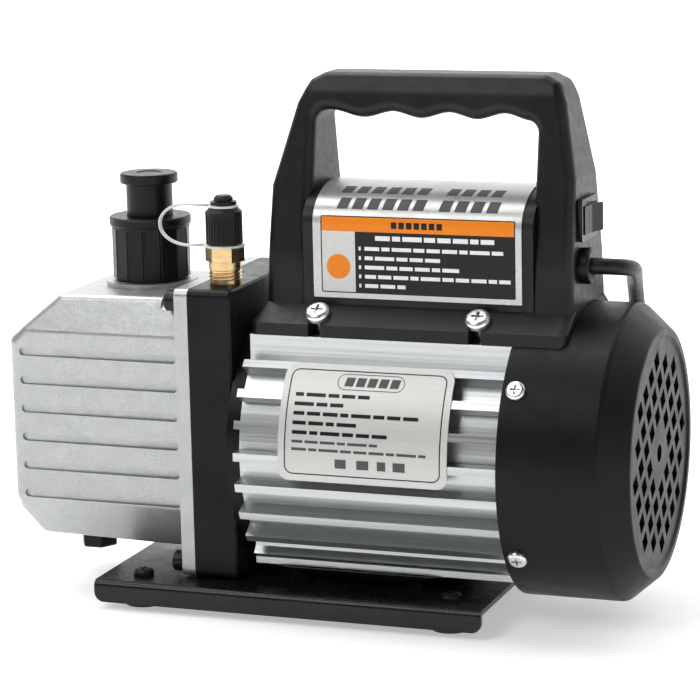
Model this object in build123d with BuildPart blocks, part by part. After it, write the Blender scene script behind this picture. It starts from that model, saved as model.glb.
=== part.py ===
from build123d import *
import math
import os

# Single-stage rotary-vane vacuum pump with a fan-cooled motor, a steel base and a carrying handle.
# Frame: +X points to the fan end, -Y is the nameplate side, +Z is up. The origin is on the floor
# under the middle of the pump. All lengths are in millimetres.

# ---- driving dimensions ----
pump_length = 270.0
pump_height = 216.0
cover_r = 59.5
axis_z = 66.0
cord_d = 6.6
fit_gap = 0.05
part_gap = 0.2

tank_front_x = -pump_length / 2 + 3.0
fan_face_x = pump_length / 2

# ---- base ----
base_x0, base_x1 = -88.7, 76.7
base_half_y = 56.0
base_top = 12.0
base_sheet = 2.0
flange_low = 3.0
foot_r = 9.0
foot_xs = (-72.5, 60.0)
foot_y = 42.0
block_screw_y = 28.0
tray_screw_xs = (0.0, 40.0)
tray_screw_y = 26.0

# ---- block and tank ----
block_x0, block_x1 = -49.0, -31.0
block_half_y = 42.0
block_top = 131.5
gasket_t = 0.5
flange_x0 = -55.2
tank_half_y = 39.6
tank_side_z = (40.0, 111.0)
tank_top, tank_bottom = 126.5, 21.0
tank_top_half_y, tank_bottom_half_y = 33.0, 28.0
tank_wall = 3.4
tank_taper = 1.0
groove_zs = (42.0, 54.0, 66.0, 78.0, 90.0, 102.0)
groove_h = 3.4
boss_top = 128.0
tank_screw_points = ((-37.0, 126.0), (37.0, 126.0), (-37.0, 17.6), (37.0, 17.6))
sight_z = 72.0
drain_x = -112.0

# ---- exhaust and inlet ----
exhaust_x = -83.0
exhaust_body_top = 154.7
exhaust_neck_top = 168.2
exhaust_cap_top = 172.5
inlet_x, inlet_y = -40.0, -23.5
hex_z = (140.7, 146.5)
inlet_cap_z = (148.0, 162.5)

# ---- pump mechanism ----
stator_x0, stator_x1 = -85.0, -49.0
bore_r = 25.5
rotor_r = 22.0
bore_z = axis_z - (bore_r - rotor_r - fit_gap)
pump_shaft_r = 8.0
vane_t = 4.0

# ---- motor ----
housing_x0, housing_x1 = -25.3, 86.0
housing_r = 50.0
housing_bore_r = 44.0
housing_flat = 47.4
fin_tip_r = 56.8
fin_w = 3.4
fin_count = 8
fin_pitch = 13.07
fin_start = -50.6
core_x0, core_x1 = 5.0, 65.0
rotor_core_r = 25.0
shaft_r = 7.5
tie_rod_r_pos = 41.1
front_bearing_x = (-16.0, -5.0)
rear_bearing_x = (84.0, 94.0)
rear_shaft_r = 6.0

# ---- fan and cover ----
cover_x0 = 84.3
cover_chamfer_x = 124.2
cover_face_r = 50.0
cover_wall = 2.2
cover_screw_x = 90.0
cover_screw_tilt = 33.7
cover_turn = 15.5
grille_pitch = 10.0
grille_hole = 6.5
grille_r = 41.0
fan_x0, fan_x1 = 99.0, 115.0
fan_r = 48.0

# ---- handle ----
handle_foot_z = axis_z + housing_flat + 0.1
handle_wall = 2.6
window_x = (-4.0, 88.5)
handle_foot_x = (-25.0, 106.0)
foot_half_y = 36.0
foot_band_top = handle_foot_z + 5.0
wall_low_z = handle_foot_z + 12.0
wall_half_y = 24.5
wall_x = 106.0
knee_z = 176.0
dome_half_y = 25.0
dome_flat_z = 157.5
dome_top_z = 171.6
ridge_pitch = 23.3
ridge_x0 = 16.7
ridge_z, crest_z = 198.4, 200.8
handle_screw_xs = (2.5, 69.3)
handle_screw_y = 30.8
handle_screw_l = 18.0

# ---- cord ----
gland_y, gland_z = -10.0, 142.0
cord_r = cord_d / 2
coil_center = (30.0, 121.3)
coil_outer_r = 43.1
coil_columns, coil_layers = 3, 2
coil_turns = 5
plug_axis_z = 18.5

# how a solid lies: standing on its place, hanging under it, or behind it along X
standing = (Align.CENTER, Align.CENTER, Align.MIN)
hanging = (Align.CENTER, Align.CENTER, Align.MAX)
behind = (Align.MAX, Align.CENTER, Align.CENTER)

parts_made = []


def save(part, label):
    """Label a finished piece and write it as its own STEP file."""
    part.label = label
    parts_made.append(label)
    export_step(part, f"parts/{label}.step")


def pan_screw(head_r, head_h, shank_r, shank_l):
    """A cross-recessed pan head screw, head up, seat at the origin."""
    with BuildPart() as screw:
        Cylinder(head_r, head_h, align=standing)
        fillet(screw.edges().sort_by(Axis.Z)[-1], radius=head_h * 0.65)
        Cylinder(shank_r, shank_l, align=hanging)
        with BuildSketch(Plane.XY.offset(head_h)):
            Rectangle(head_r, head_r * 0.22)
            Rectangle(head_r * 0.22, head_r)
        extrude(amount=-head_h * 0.6, mode=Mode.SUBTRACT)
    return screw.part


def socket_screw(head_r, head_h, shank_r, shank_l):
    """A hexagon socket cap screw, head up, seat at the origin."""
    with BuildPart() as screw:
        Cylinder(head_r, head_h, align=standing)
        chamfer(screw.edges().sort_by(Axis.Z)[-1], length=head_r * 0.1)
        Cylinder(shank_r, shank_l, align=hanging)
        with BuildSketch(Plane.XY.offset(head_h)):
            RegularPolygon(head_r * 0.52, 6)
        extrude(amount=-head_h * 0.6, mode=Mode.SUBTRACT)
    return screw.part


def hex_nut(flat_r, height, hole_r):
    """A hexagon nut standing on the origin."""
    with BuildPart() as nut:
        with BuildSketch():
            RegularPolygon(flat_r, 6, major_radius=False)
            Circle(hole_r, mode=Mode.SUBTRACT)
        extrude(amount=height)
    return nut.part


def tube(outer_r, inner_r, x0, x1, center_z=axis_z):
    """A plain ring about the motor's axis, from x0 to x1."""
    with BuildPart() as ring:
        with BuildSketch(Plane.YZ.offset(x0)):
            with Locations((0, center_z)):
                Circle(outer_r)
                Circle(inner_r, mode=Mode.SUBTRACT)
        extrude(amount=x1 - x0)
    return ring.part


def axial_plane(x):
    """The plane across the motor's axis at x, with its origin on the axis."""
    return Plane(origin=(x, 0, axis_z), x_dir=(0, 1, 0), z_dir=(1, 0, 0))


os.makedirs("parts", exist_ok=True)

four_feet = [(x, y) for x in foot_xs for y in (-foot_y, foot_y)]
block_screw_points = [((block_x0 + block_x1) / 2, y) for y in (-block_screw_y, block_screw_y)]
tray_screw_points = [(x, y) for x in tray_screw_xs for y in (-tray_screw_y, tray_screw_y)]

# ---- base plate: a sheet channel, open at both ends ----
with BuildPart() as base_plate:
    with BuildSketch(Plane.YZ.offset(base_x0)) as channel:
        with Locations((0, base_top)):
            Rectangle(2 * base_half_y, base_top - flange_low, align=(Align.CENTER, Align.MAX))
        fillet(channel.vertices().group_by(Axis.Y)[-1], radius=2.6)
        with Locations((0, base_top - base_sheet)):
            Rectangle(2 * (base_half_y - base_sheet), base_top, align=(Align.CENTER, Align.MAX),
                      mode=Mode.SUBTRACT)
    extrude(amount=base_x1 - base_x0)
    fillet(base_plate.edges().filter_by(Axis.Y).group_by(Axis.Z)[0], radius=4.0)
    with Locations(Plane.XY.offset(base_top)):
        with Locations(*four_feet):
            Hole(2.2)
        with Locations(*block_screw_points):
            Hole(3.3)
        with Locations(*tray_screw_points):
            Hole(2.8)
save(base_plate.part, "base_plate")

# ---- rubber feet with their screws and nuts ----
foot_top = base_top - base_sheet
foot_pocket_r, foot_pocket_z = 5.0, 5.0
with BuildPart() as one_foot:
    with BuildSketch(Plane.XZ):
        with BuildLine():
            Polyline((2.2, foot_top), (foot_r - 1.0, foot_top), (foot_r, 1.2), (foot_r - 1.2, 0),
                     (foot_pocket_r, 0), (foot_pocket_r, foot_pocket_z), (2.2, foot_pocket_z), close=True)
        make_face()
    revolve(axis=Axis.Z)
with BuildPart() as rubber_feet:
    with Locations(*four_feet):
        add(one_foot.part)
save(rubber_feet.part, "rubber_feet")

foot_screw = pan_screw(4.2, 2.5, 2.0, 10.4)
with BuildPart() as foot_screws:
    with Locations(*[(x, y, base_top) for x, y in four_feet]):
        add(foot_screw)
save(foot_screws.part, "foot_screws")

foot_nut = hex_nut(3.5, 3.0, 2.0 + fit_gap)
with BuildPart() as foot_nuts:
    with Locations(*[(x, y, foot_pocket_z - 3.0) for x, y in four_feet]):
        add(foot_nut)
save(foot_nuts.part, "foot_nuts")

# ---- motor tray: a pressed dish between the base and the motor ----
housing_bottom = axis_z - housing_flat
tray_t = 1.6
tray_mid_x = 19.5


def tray_blank(inset, low, high):
    """A dish with sides that lean outwards, from z = low to z = high."""
    with BuildPart() as dish:
        for level, length, depth in ((low, 51.0, 60.0), (high, 75.0, 76.0)):
            with BuildSketch(Plane.XY.offset(level)):
                with Locations((tray_mid_x, 0)):
                    RectangleRounded(length - 2 * inset, depth - 2 * inset, 9.0 - inset)
        loft()
    return dish.part


with BuildPart() as motor_tray:
    add(tray_blank(0, base_top, housing_bottom))
    add(tray_blank(tray_t, base_top + tray_t, housing_bottom + 0.01), mode=Mode.SUBTRACT)
    with Locations(*[(x, y, base_top) for x, y in tray_screw_points]):
        Cylinder(5.0, housing_bottom - base_top, align=standing)
        Cylinder(2.8, 30, mode=Mode.SUBTRACT)
save(motor_tray.part, "motor_tray")

screw_up = Rot(X=180)
tray_screw = screw_up * socket_screw(4.2, 4.0, 2.5, 18.0)
with BuildPart() as tray_screws:
    with Locations(*[(x, y, foot_top) for x, y in tray_screw_points]):
        add(tray_screw)
save(tray_screws.part, "tray_screws")

# ---- mounting block: carries the mechanism, the tank and the motor ----
seal_r, seal_x0 = 14.0, -37.0
inlet_bore_r, inlet_bore_z = 5.2, 118.0
port_r, port_z = 3.0, 76.0
block_length = block_x1 - block_x0
with BuildPart() as mounting_block:
    with BuildSketch(Plane.YZ.offset(block_x0)) as block_outline:
        with Locations((0, base_top)):
            Rectangle(2 * block_half_y, block_top - base_top, align=(Align.CENTER, Align.MIN))
        fillet(block_outline.vertices(), radius=3.0)
    extrude(amount=block_length)
    chamfer(mounting_block.faces().sort_by(Axis.X)[-1].edges(), length=0.8)
    with Locations(axial_plane(block_x1)):
        Hole(pump_shaft_r + 0.05)
        with Locations((0, 0)):
            CounterBoreHole(pump_shaft_r + 0.05, seal_r, block_x1 - seal_x0)
    with Locations((inlet_x, inlet_y, block_top)):
        Hole(inlet_bore_r, depth=block_top - inlet_bore_z)
        Hole(port_r, depth=block_top - port_z + port_r)
    with Locations(Plane(origin=(block_x0, inlet_y, port_z), z_dir=(-1, 0, 0))):
        Hole(port_r, depth=inlet_x - block_x0)
    with Locations(*[(x, y, base_top) for x, y in block_screw_points]):
        Cylinder(3.1, 2 * 15.0, mode=Mode.SUBTRACT)
    for y, z in tank_screw_points:
        with Locations(Plane(origin=(block_x0, y, z), z_dir=(-1, 0, 0))):
            Hole(2.1, depth=12.0)
save(mounting_block.part, "mounting_block")

block_screw = screw_up * socket_screw(5.0, 5.0, 3.0, 15.0)
with BuildPart() as block_screws:
    with Locations(*[(x, y, foot_top) for x, y in block_screw_points]):
        add(block_screw)
save(block_screws.part, "block_screws")

# ---- oil tank ----


def tank_blank(inset, x0, x1):
    """The eight-sided tank body, set in on every face, narrowing to the front."""
    side, low, high = tank_half_y - inset, tank_bottom + inset, tank_top - inset
    with BuildPart() as blank:
        with BuildSketch(Plane(origin=(x1, 0, 0), x_dir=(0, -1, 0), z_dir=(-1, 0, 0))):
            with BuildLine():
                Polyline((side, tank_side_z[0]), (side, tank_side_z[1]),
                         (tank_top_half_y - inset * 0.5, high), (-tank_top_half_y + inset * 0.5, high),
                         (-side, tank_side_z[1]), (-side, tank_side_z[0]),
                         (-tank_bottom_half_y + inset * 0.5, low), (tank_bottom_half_y - inset * 0.5, low),
                         close=True)
            make_face()
        extrude(amount=x1 - x0, taper=tank_taper)
        with BuildSketch(Plane.XZ):
            with BuildLine():
                Polyline((x0 - 5, 102.5 - inset), (x0 + 26.0, tank_top + 3.0), (x0 - 5, tank_top + 3.0),
                         close=True)
            make_face()
            with BuildLine():
                Polyline((x0 - 5, tank_bottom - 3.0), (x0 + 9.0, tank_bottom - 3.0),
                         (x0 - 5, tank_side_z[0] + 5.0 + inset), close=True)
            make_face()
        extrude(amount=60, both=True, mode=Mode.SUBTRACT)
    return blank.part


groove_x0 = -127.0
tank_floor_y = 37.2
boss_r = 19.0
exhaust_hole_r = 11.0
sight_hole_r = 9.0
screw_scallop_r = 4.8
drain_boss_r, drain_hole_r = 8.5, 5.0
drain_boss_z = 18.5
with BuildPart() as oil_tank:
    add(tank_blank(0, tank_front_x, flange_x0 + 2))
    fillet(oil_tank.edges().filter_by(lambda edge: edge.center().X < flange_x0), radius=3.5)
    with BuildSketch(Plane.YZ.offset(flange_x0)) as flange_outline:
        with Locations((0, base_top + 0.5)):
            Rectangle(2 * block_half_y, block_top - base_top - 0.5, align=(Align.CENTER, Align.MIN))
        fillet(flange_outline.vertices(), radius=3.0)
    extrude(amount=block_x0 - gasket_t - flange_x0)
    with Locations((exhaust_x, 0, boss_top)):
        Cylinder(boss_r, 6.0, align=hanging)
    with Locations((drain_x, 0, drain_boss_z)):
        Cylinder(drain_boss_r, 8.0, align=standing)
    add(tank_blank(tank_wall, tank_front_x + tank_wall, block_x0), mode=Mode.SUBTRACT)
    for side in (-1, 1):
        groove_plane = Plane(origin=(0, side * tank_floor_y, 0), x_dir=(1, 0, 0), z_dir=(0, side, 0))
        with BuildSketch(groove_plane):
            with Locations(*[(0, -side * z) for z in groove_zs]):
                with Locations(((groove_x0 + flange_x0 - 1) / 2, 0)):
                    SlotOverall(flange_x0 - 1 - groove_x0, groove_h)
        extrude(amount=10, mode=Mode.SUBTRACT)
    with Locations((exhaust_x, 0, boss_top)):
        Hole(exhaust_hole_r, depth=12)
    with Locations((drain_x, 0, drain_boss_z)):
        Cylinder(drain_hole_r, 30, mode=Mode.SUBTRACT)
    with Locations(Plane(origin=(tank_front_x, 0, sight_z), z_dir=(-1, 0, 0))):
        Hole(sight_hole_r, depth=10)
    for y, z in tank_screw_points:
        with Locations(Plane(origin=(flange_x0, y, z), z_dir=(-1, 0, 0))):
            Hole(2.2, depth=8)
            Cylinder(screw_scallop_r, 9.0, align=standing,
                     mode=Mode.SUBTRACT)
save(oil_tank.part, "oil_tank")

with BuildPart() as tank_gasket:
    with BuildSketch(Plane.YZ.offset(block_x0 - gasket_t)) as gasket_outline:
        with Locations((0, base_top + 0.8)):
            Rectangle(2 * block_half_y - 0.6, block_top - base_top - 1.2, align=(Align.CENTER, Align.MIN))
        fillet(gasket_outline.vertices(), radius=3.0)
        with Locations((0, (tank_top + tank_bottom) / 2)):
            Rectangle(2 * 36.0, 96.0, mode=Mode.SUBTRACT)
        with Locations(*tank_screw_points):
            Circle(2.6, mode=Mode.SUBTRACT)
    extrude(amount=gasket_t)
save(tank_gasket.part, "tank_gasket")

tank_screw = socket_screw(4.25, 5.0, 2.0, 15.0)
with BuildPart() as tank_screws:
    for y, z in tank_screw_points:
        with Locations(Location(Plane(origin=(flange_x0, y, z), z_dir=(-1, 0, 0)))):
            add(tank_screw)
save(tank_screws.part, "tank_screws")

# ---- sight glass on the tank's front, held by a threaded bezel ----
bezel_x0 = -pump_length / 2
bezel_plane = Plane(origin=(tank_front_x, 0, sight_z), z_dir=(-1, 0, 0))
bezel_r, glass_r, glass_t = 15.5, 11.4, 1.6
with BuildPart() as sight_bezel:
    with BuildSketch(bezel_plane):
        Circle(bezel_r)
        Circle(sight_hole_r, mode=Mode.SUBTRACT)
    extrude(amount=tank_front_x - bezel_x0)
    fillet(sight_bezel.faces().sort_by(Axis.X)[0].outer_wire().edges(), radius=0.8)
    with BuildSketch(bezel_plane):
        Circle(glass_r + 0.1)
    extrude(amount=glass_t, mode=Mode.SUBTRACT)
    with BuildSketch(bezel_plane):
        with PolarLocations(bezel_r + 0.6, 12):
            Circle(1.5)
    extrude(amount=tank_front_x - bezel_x0, mode=Mode.SUBTRACT)
save(sight_bezel.part, "sight_bezel")

with BuildPart() as sight_glass:
    with Locations(Location(bezel_plane)):
        Cylinder(glass_r, glass_t - fit_gap, align=standing)
    chamfer(sight_glass.edges(), length=0.2)
save(sight_glass.part, "sight_glass")

# ---- drain plug under the tank ----
drain_plug_low = 11.0
with BuildPart() as drain_plug:
    with BuildSketch(Plane.XY.offset(drain_plug_low)):
        with Locations((drain_x, 0)):
            RegularPolygon(7.0, 6, major_radius=False)
    extrude(amount=drain_boss_z - drain_plug_low)
    chamfer(drain_plug.faces().sort_by(Axis.Z)[0].edges(), length=0.6)
    with Locations((drain_x, 0, drain_boss_z)):
        Cylinder(drain_hole_r - fit_gap, 9.0, align=standing)
save(drain_plug.part, "drain_plug")

# ---- exhaust fitting and its cap ----
exhaust_r = 17.0
exhaust_rim_h = 3.2
exhaust_foot_z = boss_top + 1.2
neck_r, neck_bore_r = 9.6, 7.0
facet_count, facet_r = 14, exhaust_r - 1.2
facet_top_z = exhaust_body_top - exhaust_rim_h - 1.6
with BuildPart() as exhaust_body:
    with BuildSketch(Plane.XZ):
        with BuildLine():
            Polyline((exhaust_x + 8.5, boss_top - 10.0),
                     (exhaust_x + exhaust_hole_r - fit_gap, boss_top - 10.0),
                     (exhaust_x + exhaust_hole_r - fit_gap, exhaust_foot_z),
                     (exhaust_x + exhaust_r - 1.0, exhaust_foot_z),
                     (exhaust_x + exhaust_r - 0.6, exhaust_body_top - exhaust_rim_h - 0.8),
                     (exhaust_x + exhaust_r, exhaust_body_top - exhaust_rim_h),
                     (exhaust_x + exhaust_r, exhaust_body_top - 0.6),
                     (exhaust_x + exhaust_r - 0.6, exhaust_body_top),
                     (exhaust_x + neck_r, exhaust_body_top), (exhaust_x + neck_r, exhaust_neck_top - 0.2),
                     (exhaust_x + neck_bore_r, exhaust_neck_top - 0.2),
                     (exhaust_x + neck_bore_r, exhaust_body_top - 3.0),
                     (exhaust_x + 14.0, exhaust_body_top - 3.0), (exhaust_x + 14.0, exhaust_foot_z + 3.0),
                     (exhaust_x + 8.5, exhaust_foot_z + 3.0), close=True)
        make_face()
    revolve(axis=Axis((exhaust_x, 0, 0), (0, 0, 1)))
    with BuildSketch(Plane.XY.offset(exhaust_foot_z)):
        with Locations((exhaust_x, 0)):
            Circle(exhaust_r + 1)
            RegularPolygon(facet_r, facet_count, major_radius=False, mode=Mode.SUBTRACT)
            with PolarLocations(facet_r / math.cos(math.pi / facet_count), facet_count):
                Circle(0.6)
    extrude(amount=facet_top_z - exhaust_foot_z, mode=Mode.SUBTRACT)
save(exhaust_body.part, "exhaust_body")

with BuildPart() as exhaust_seal:
    with BuildSketch(Plane.XY.offset(boss_top)):
        with Locations((exhaust_x, 0)):
            Circle(14.5)
            Circle(exhaust_hole_r + fit_gap, mode=Mode.SUBTRACT)
    extrude(amount=1.2)
save(exhaust_seal.part, "exhaust_seal")

with BuildPart() as exhaust_filter:
    with BuildSketch(Plane.XY.offset(exhaust_foot_z + 3.2)):
        with Locations((exhaust_x, 0)):
            Circle(13.8)
            Circle(6.0, mode=Mode.SUBTRACT)
    extrude(amount=exhaust_body_top - exhaust_foot_z - 6.6)
save(exhaust_filter.part, "exhaust_filter")

cap_plug_l = 10.0
with BuildPart() as exhaust_cap:
    with Locations((exhaust_x, 0, exhaust_neck_top)):
        Cylinder(12.0, exhaust_cap_top - exhaust_neck_top, align=standing)
        fillet(exhaust_cap.edges().filter_by(GeomType.CIRCLE), radius=0.8)
        Cylinder(neck_bore_r - fit_gap, cap_plug_l, align=hanging)
        Cylinder(neck_bore_r - 1.8, 2 * (cap_plug_l + 1), mode=Mode.SUBTRACT)
    with Locations((exhaust_x, 0, exhaust_cap_top - 2.0)):
        Cylinder(neck_bore_r - 1.0, 2.0 - 0.3, align=standing)
save(exhaust_cap.part, "exhaust_cap")

# ---- inlet fitting, its cap and the tether ----
stem_r = 4.8
inlet_bore = 2.4
thread_r = 6.15
flare_r = 5.5
tether_ring_t = 0.9
tether_low_z = hex_z[1] + 0.1
cap_r = 7.5
cap_stem_r = 2.6
cap_knob_r = 3.9
cap_disc_z = inlet_cap_z[1] + tether_ring_t + 0.5
with BuildPart() as inlet_fitting:
    with BuildSketch(Plane.XZ.offset(-inlet_y)):
        with BuildLine():
            Polyline((inlet_x + inlet_bore, inlet_bore_z + 1.0), (inlet_x + stem_r, inlet_bore_z + 1.0),
                     (inlet_x + stem_r, block_top), (inlet_x + thread_r, block_top),
                     (inlet_x + thread_r, block_top + 5.7), (inlet_x + 6.55, block_top + 6.0),
                     (inlet_x + 6.55, hex_z[0]), (inlet_x + flare_r, hex_z[0]),
                     (inlet_x + flare_r, inlet_cap_z[1] - 4.6),
                     (inlet_x + flare_r - 1.8, inlet_cap_z[1] - 2.8),
                     (inlet_x + inlet_bore, inlet_cap_z[1] - 2.8), close=True)
        make_face()
    revolve(axis=Axis((inlet_x, inlet_y, 0), (0, 0, 1)))
    with BuildSketch(Plane.XY.offset(hex_z[0])):
        with Locations((inlet_x, inlet_y)):
            RegularPolygon(7.0, 6, major_radius=False, rotation=12)
            Circle(inlet_bore, mode=Mode.SUBTRACT)
    extrude(amount=hex_z[1] - hex_z[0])
save(inlet_fitting.part, "inlet_fitting")

knurl_count = 30
with BuildPart() as inlet_cap:
    with BuildSketch(Plane.XZ.offset(-inlet_y)):
        with BuildLine():
            Polyline((inlet_x + flare_r + fit_gap, inlet_cap_z[0]), (inlet_x + cap_r, inlet_cap_z[0]),
                     (inlet_x + cap_r, inlet_cap_z[1] - 1.6), (inlet_x + cap_r - 1.6, inlet_cap_z[1]),
                     (inlet_x + cap_stem_r, inlet_cap_z[1]), (inlet_x + cap_stem_r, cap_disc_z + 1.5),
                     (inlet_x + cap_knob_r, cap_disc_z + 1.5), (inlet_x + cap_knob_r, cap_disc_z + 2.6),
                     (inlet_x + cap_knob_r - 1.0, cap_disc_z + 3.6), (inlet_x, cap_disc_z + 3.6),
                     (inlet_x, inlet_cap_z[1] - 2.0),
                     (inlet_x + flare_r + fit_gap, inlet_cap_z[1] - 2.0), close=True)
        make_face()
    revolve(axis=Axis((inlet_x, inlet_y, 0), (0, 0, 1)))
    with BuildSketch(Plane.XY.offset(inlet_cap_z[0])):
        with Locations((inlet_x, inlet_y)):
            with PolarLocations(cap_r + 0.1, knurl_count):
                Circle(0.45)
    extrude(amount=inlet_cap_z[1] - inlet_cap_z[0] - 3.0, mode=Mode.SUBTRACT)
save(inlet_cap.part, "inlet_cap")

with BuildPart() as cap_washer:
    with Locations((inlet_x, inlet_y, cap_disc_z)):
        Cylinder(5.4, 1.2, align=standing)
        Cylinder(cap_stem_r + fit_gap, 5, mode=Mode.SUBTRACT)
save(cap_washer.part, "cap_washer")

# ---- tether: two flat rings joined by a bowed strap ----
strap_w, strap_t = 3.0, 0.9
strap_far_x = inlet_x - 26.0
strap_low_z = tether_low_z + strap_t / 2
strap_high_z = inlet_cap_z[1] + 0.1 + tether_ring_t / 2
with BuildPart() as cap_tether:
    for level, hole_r, ring_r in ((tether_low_z, flare_r + fit_gap, 8.4),
                                  (inlet_cap_z[1] + 0.1, cap_stem_r + fit_gap, 6.2)):
        with BuildSketch(Plane.XY.offset(level)):
            with Locations((inlet_x, inlet_y)):
                Circle(ring_r)
                Circle(hole_r, mode=Mode.SUBTRACT)
        extrude(amount=tether_ring_t)
    with BuildLine() as strap_line:
        Polyline((inlet_x - 7.4, inlet_y, strap_low_z), (inlet_x - 18.0, inlet_y, strap_low_z + 1.2),
                 (strap_far_x, inlet_y, strap_low_z + 7.0), (inlet_x - 18.0, inlet_y, strap_high_z + 0.2),
                 (inlet_x - 4.5, inlet_y, strap_high_z))
        fillet(strap_line.vertices().sort_by(Axis.Z)[1:-1], radius=4.0)
    with BuildSketch(Plane(origin=strap_line.line @ 0, z_dir=strap_line.line % 0)):
        Rectangle(strap_t, strap_w)
    sweep()
save(cap_tether.part, "cap_tether")

# ---- pump mechanism inside the tank ----
stator_half_y, stator_half_z = 32.0, 31.0
stator_bolt_points = [(y, bore_z + z) for y in (-27.0, 27.0) for z in (-26.0, 26.0)]
end_plate_t = 6.0
end_plate_x0 = stator_x0 - end_plate_t
stator_top = bore_z + stator_half_z
discharge_x = (stator_x0 + stator_x1) / 2
discharge_y = 8.0


def stator_block(x0, x1, inset, holes_r):
    """A rounded block across the shaft, with its four bolt holes."""
    with BuildPart() as block:
        with BuildSketch(Plane.YZ.offset(x0)):
            with Locations((0, bore_z)):
                RectangleRounded(2 * (stator_half_y - inset), 2 * (stator_half_z - inset), 8.0 - inset)
            with Locations(*stator_bolt_points):
                Circle(holes_r, mode=Mode.SUBTRACT)
        extrude(amount=x1 - x0)
    return block.part


with BuildPart() as pump_stator:
    add(stator_block(stator_x0, stator_x1, 0, 2.6))
    with BuildSketch(Plane.YZ.offset(stator_x0)):
        with Locations((0, bore_z)):
            Circle(bore_r)
    extrude(amount=stator_x1 - stator_x0, mode=Mode.SUBTRACT)
    with BuildSketch(Plane.YZ.offset(stator_x1 - 12.0)):
        with Locations((inlet_y, port_z)):
            Circle(port_r)
    extrude(amount=12.0, mode=Mode.SUBTRACT)
    with Locations((discharge_x, discharge_y, stator_top)):
        Hole(2.0, depth=9.0)
    with Locations((discharge_x, discharge_y + 15.0, stator_top)):
        Hole(1.6, depth=6.5)
save(pump_stator.part, "pump_stator")

with BuildPart() as pump_end_plate:
    add(stator_block(end_plate_x0, stator_x0, 0.5, 2.6))
    with BuildSketch(Plane.YZ.offset(end_plate_x0)):
        with Locations((0, axis_z)):
            Circle(pump_shaft_r + fit_gap)
    extrude(amount=end_plate_t, mode=Mode.SUBTRACT)
save(pump_end_plate.part, "pump_end_plate")

stator_bolt = socket_screw(4.2, 5.0, 2.5, end_plate_t + stator_x1 - stator_x0 - 0.5)
with BuildPart() as stator_bolts:
    for y, z in stator_bolt_points:
        with Locations(Location(Plane(origin=(end_plate_x0, y, z), z_dir=(-1, 0, 0)))):
            add(stator_bolt)
save(stator_bolts.part, "stator_bolts")

rotor_x0, rotor_x1 = stator_x0 + fit_gap, stator_x1 - fit_gap
pump_shaft_end = -24.2
vane_low_r, vane_high_r = 9.6, rotor_r - 0.2
slot_low_r = 7.2
with BuildPart() as pump_rotor:
    add(tube(rotor_r, 1.0, rotor_x0, rotor_x1))
    add(tube(pump_shaft_r, 1.0, end_plate_x0 + 0.5, pump_shaft_end))
    for side in (-1, 1):
        with Locations(((rotor_x0 + rotor_x1) / 2, side * (slot_low_r + rotor_r) / 2, axis_z)):
            Box(rotor_x1 - rotor_x0, rotor_r - slot_low_r + 0.6, vane_t + 2 * fit_gap, mode=Mode.SUBTRACT)
save(pump_rotor.part, "pump_rotor")

with BuildPart() as pump_vanes:
    for side in (-1, 1):
        with Locations(((rotor_x0 + rotor_x1) / 2, side * (vane_low_r + vane_high_r) / 2, axis_z)):
            Box(rotor_x1 - rotor_x0 - 0.1, vane_high_r - vane_low_r, vane_t)
    fillet(pump_vanes.faces().filter_by(Axis.Y).sort_by(Axis.Y)[0].edges().filter_by(Axis.X), radius=1.5)
    fillet(pump_vanes.faces().filter_by(Axis.Y).sort_by(Axis.Y)[-1].edges().filter_by(Axis.X), radius=1.5)
save(pump_vanes.part, "pump_vanes")

with BuildPart() as vane_springs:
    for x in (rotor_x0 + 9.0, rotor_x1 - 9.0):
        for side in (-1, 1):
            with Locations(Location((x, side * (slot_low_r + vane_low_r) / 2, axis_z), (90, 0, 0))):
                Cylinder(1.6, vane_low_r - slot_low_r - 0.1)
                Cylinder(1.1, 5, mode=Mode.SUBTRACT)
save(vane_springs.part, "vane_springs")

reed_t, reed_w, stop_t = 0.3, 9.0, 1.4
reed_mid_y = discharge_y + 7.0
with BuildPart() as discharge_reed:
    with Locations((discharge_x, reed_mid_y, stator_top)):
        Box(reed_w, 24.0, reed_t, align=standing)
    with Locations((discharge_x, discharge_y + 15.0, stator_top)):
        Cylinder(1.7, 5, mode=Mode.SUBTRACT)
save(discharge_reed.part, "discharge_reed")

with BuildPart() as reed_stop:
    with BuildSketch(Plane.YZ.offset(discharge_x - reed_w / 2)):
        with BuildLine():
            Polyline((reed_mid_y + 12.0, stator_top + reed_t),
                     (reed_mid_y + 12.0, stator_top + reed_t + stop_t),
                     (reed_mid_y + 2.0, stator_top + reed_t + stop_t),
                     (reed_mid_y - 12.0, stator_top + reed_t + stop_t + 3.0),
                     (reed_mid_y - 12.0, stator_top + reed_t + 3.0),
                     (reed_mid_y + 2.0, stator_top + reed_t), close=True)
        make_face()
    extrude(amount=reed_w)
    with Locations((discharge_x, discharge_y + 15.0, stator_top)):
        Cylinder(1.7, 12, mode=Mode.SUBTRACT)
save(reed_stop.part, "reed_stop")

with BuildPart() as reed_screw:
    with Locations((discharge_x, discharge_y + 15.0, stator_top + reed_t + stop_t)):
        add(pan_screw(2.9, 2.0, 1.5, 6.0))
save(reed_screw.part, "reed_screw")

with BuildPart() as shaft_seal:
    add(tube(seal_r - fit_gap, pump_shaft_r + fit_gap, seal_x0 + fit_gap, block_x1 - 0.4))
save(shaft_seal.part, "shaft_seal")

# ---- motor ----
coupling_x0, coupling_x1 = -30.4, -18.0
coupling_mid_x = -24.0
coupling_r = 12.0
with BuildPart() as shaft_coupling:
    add(tube(coupling_r, pump_shaft_r + fit_gap, coupling_x0, coupling_mid_x))
    add(tube(coupling_r, shaft_r + fit_gap, coupling_mid_x, coupling_x1))
save(shaft_coupling.part, "shaft_coupling")

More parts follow.
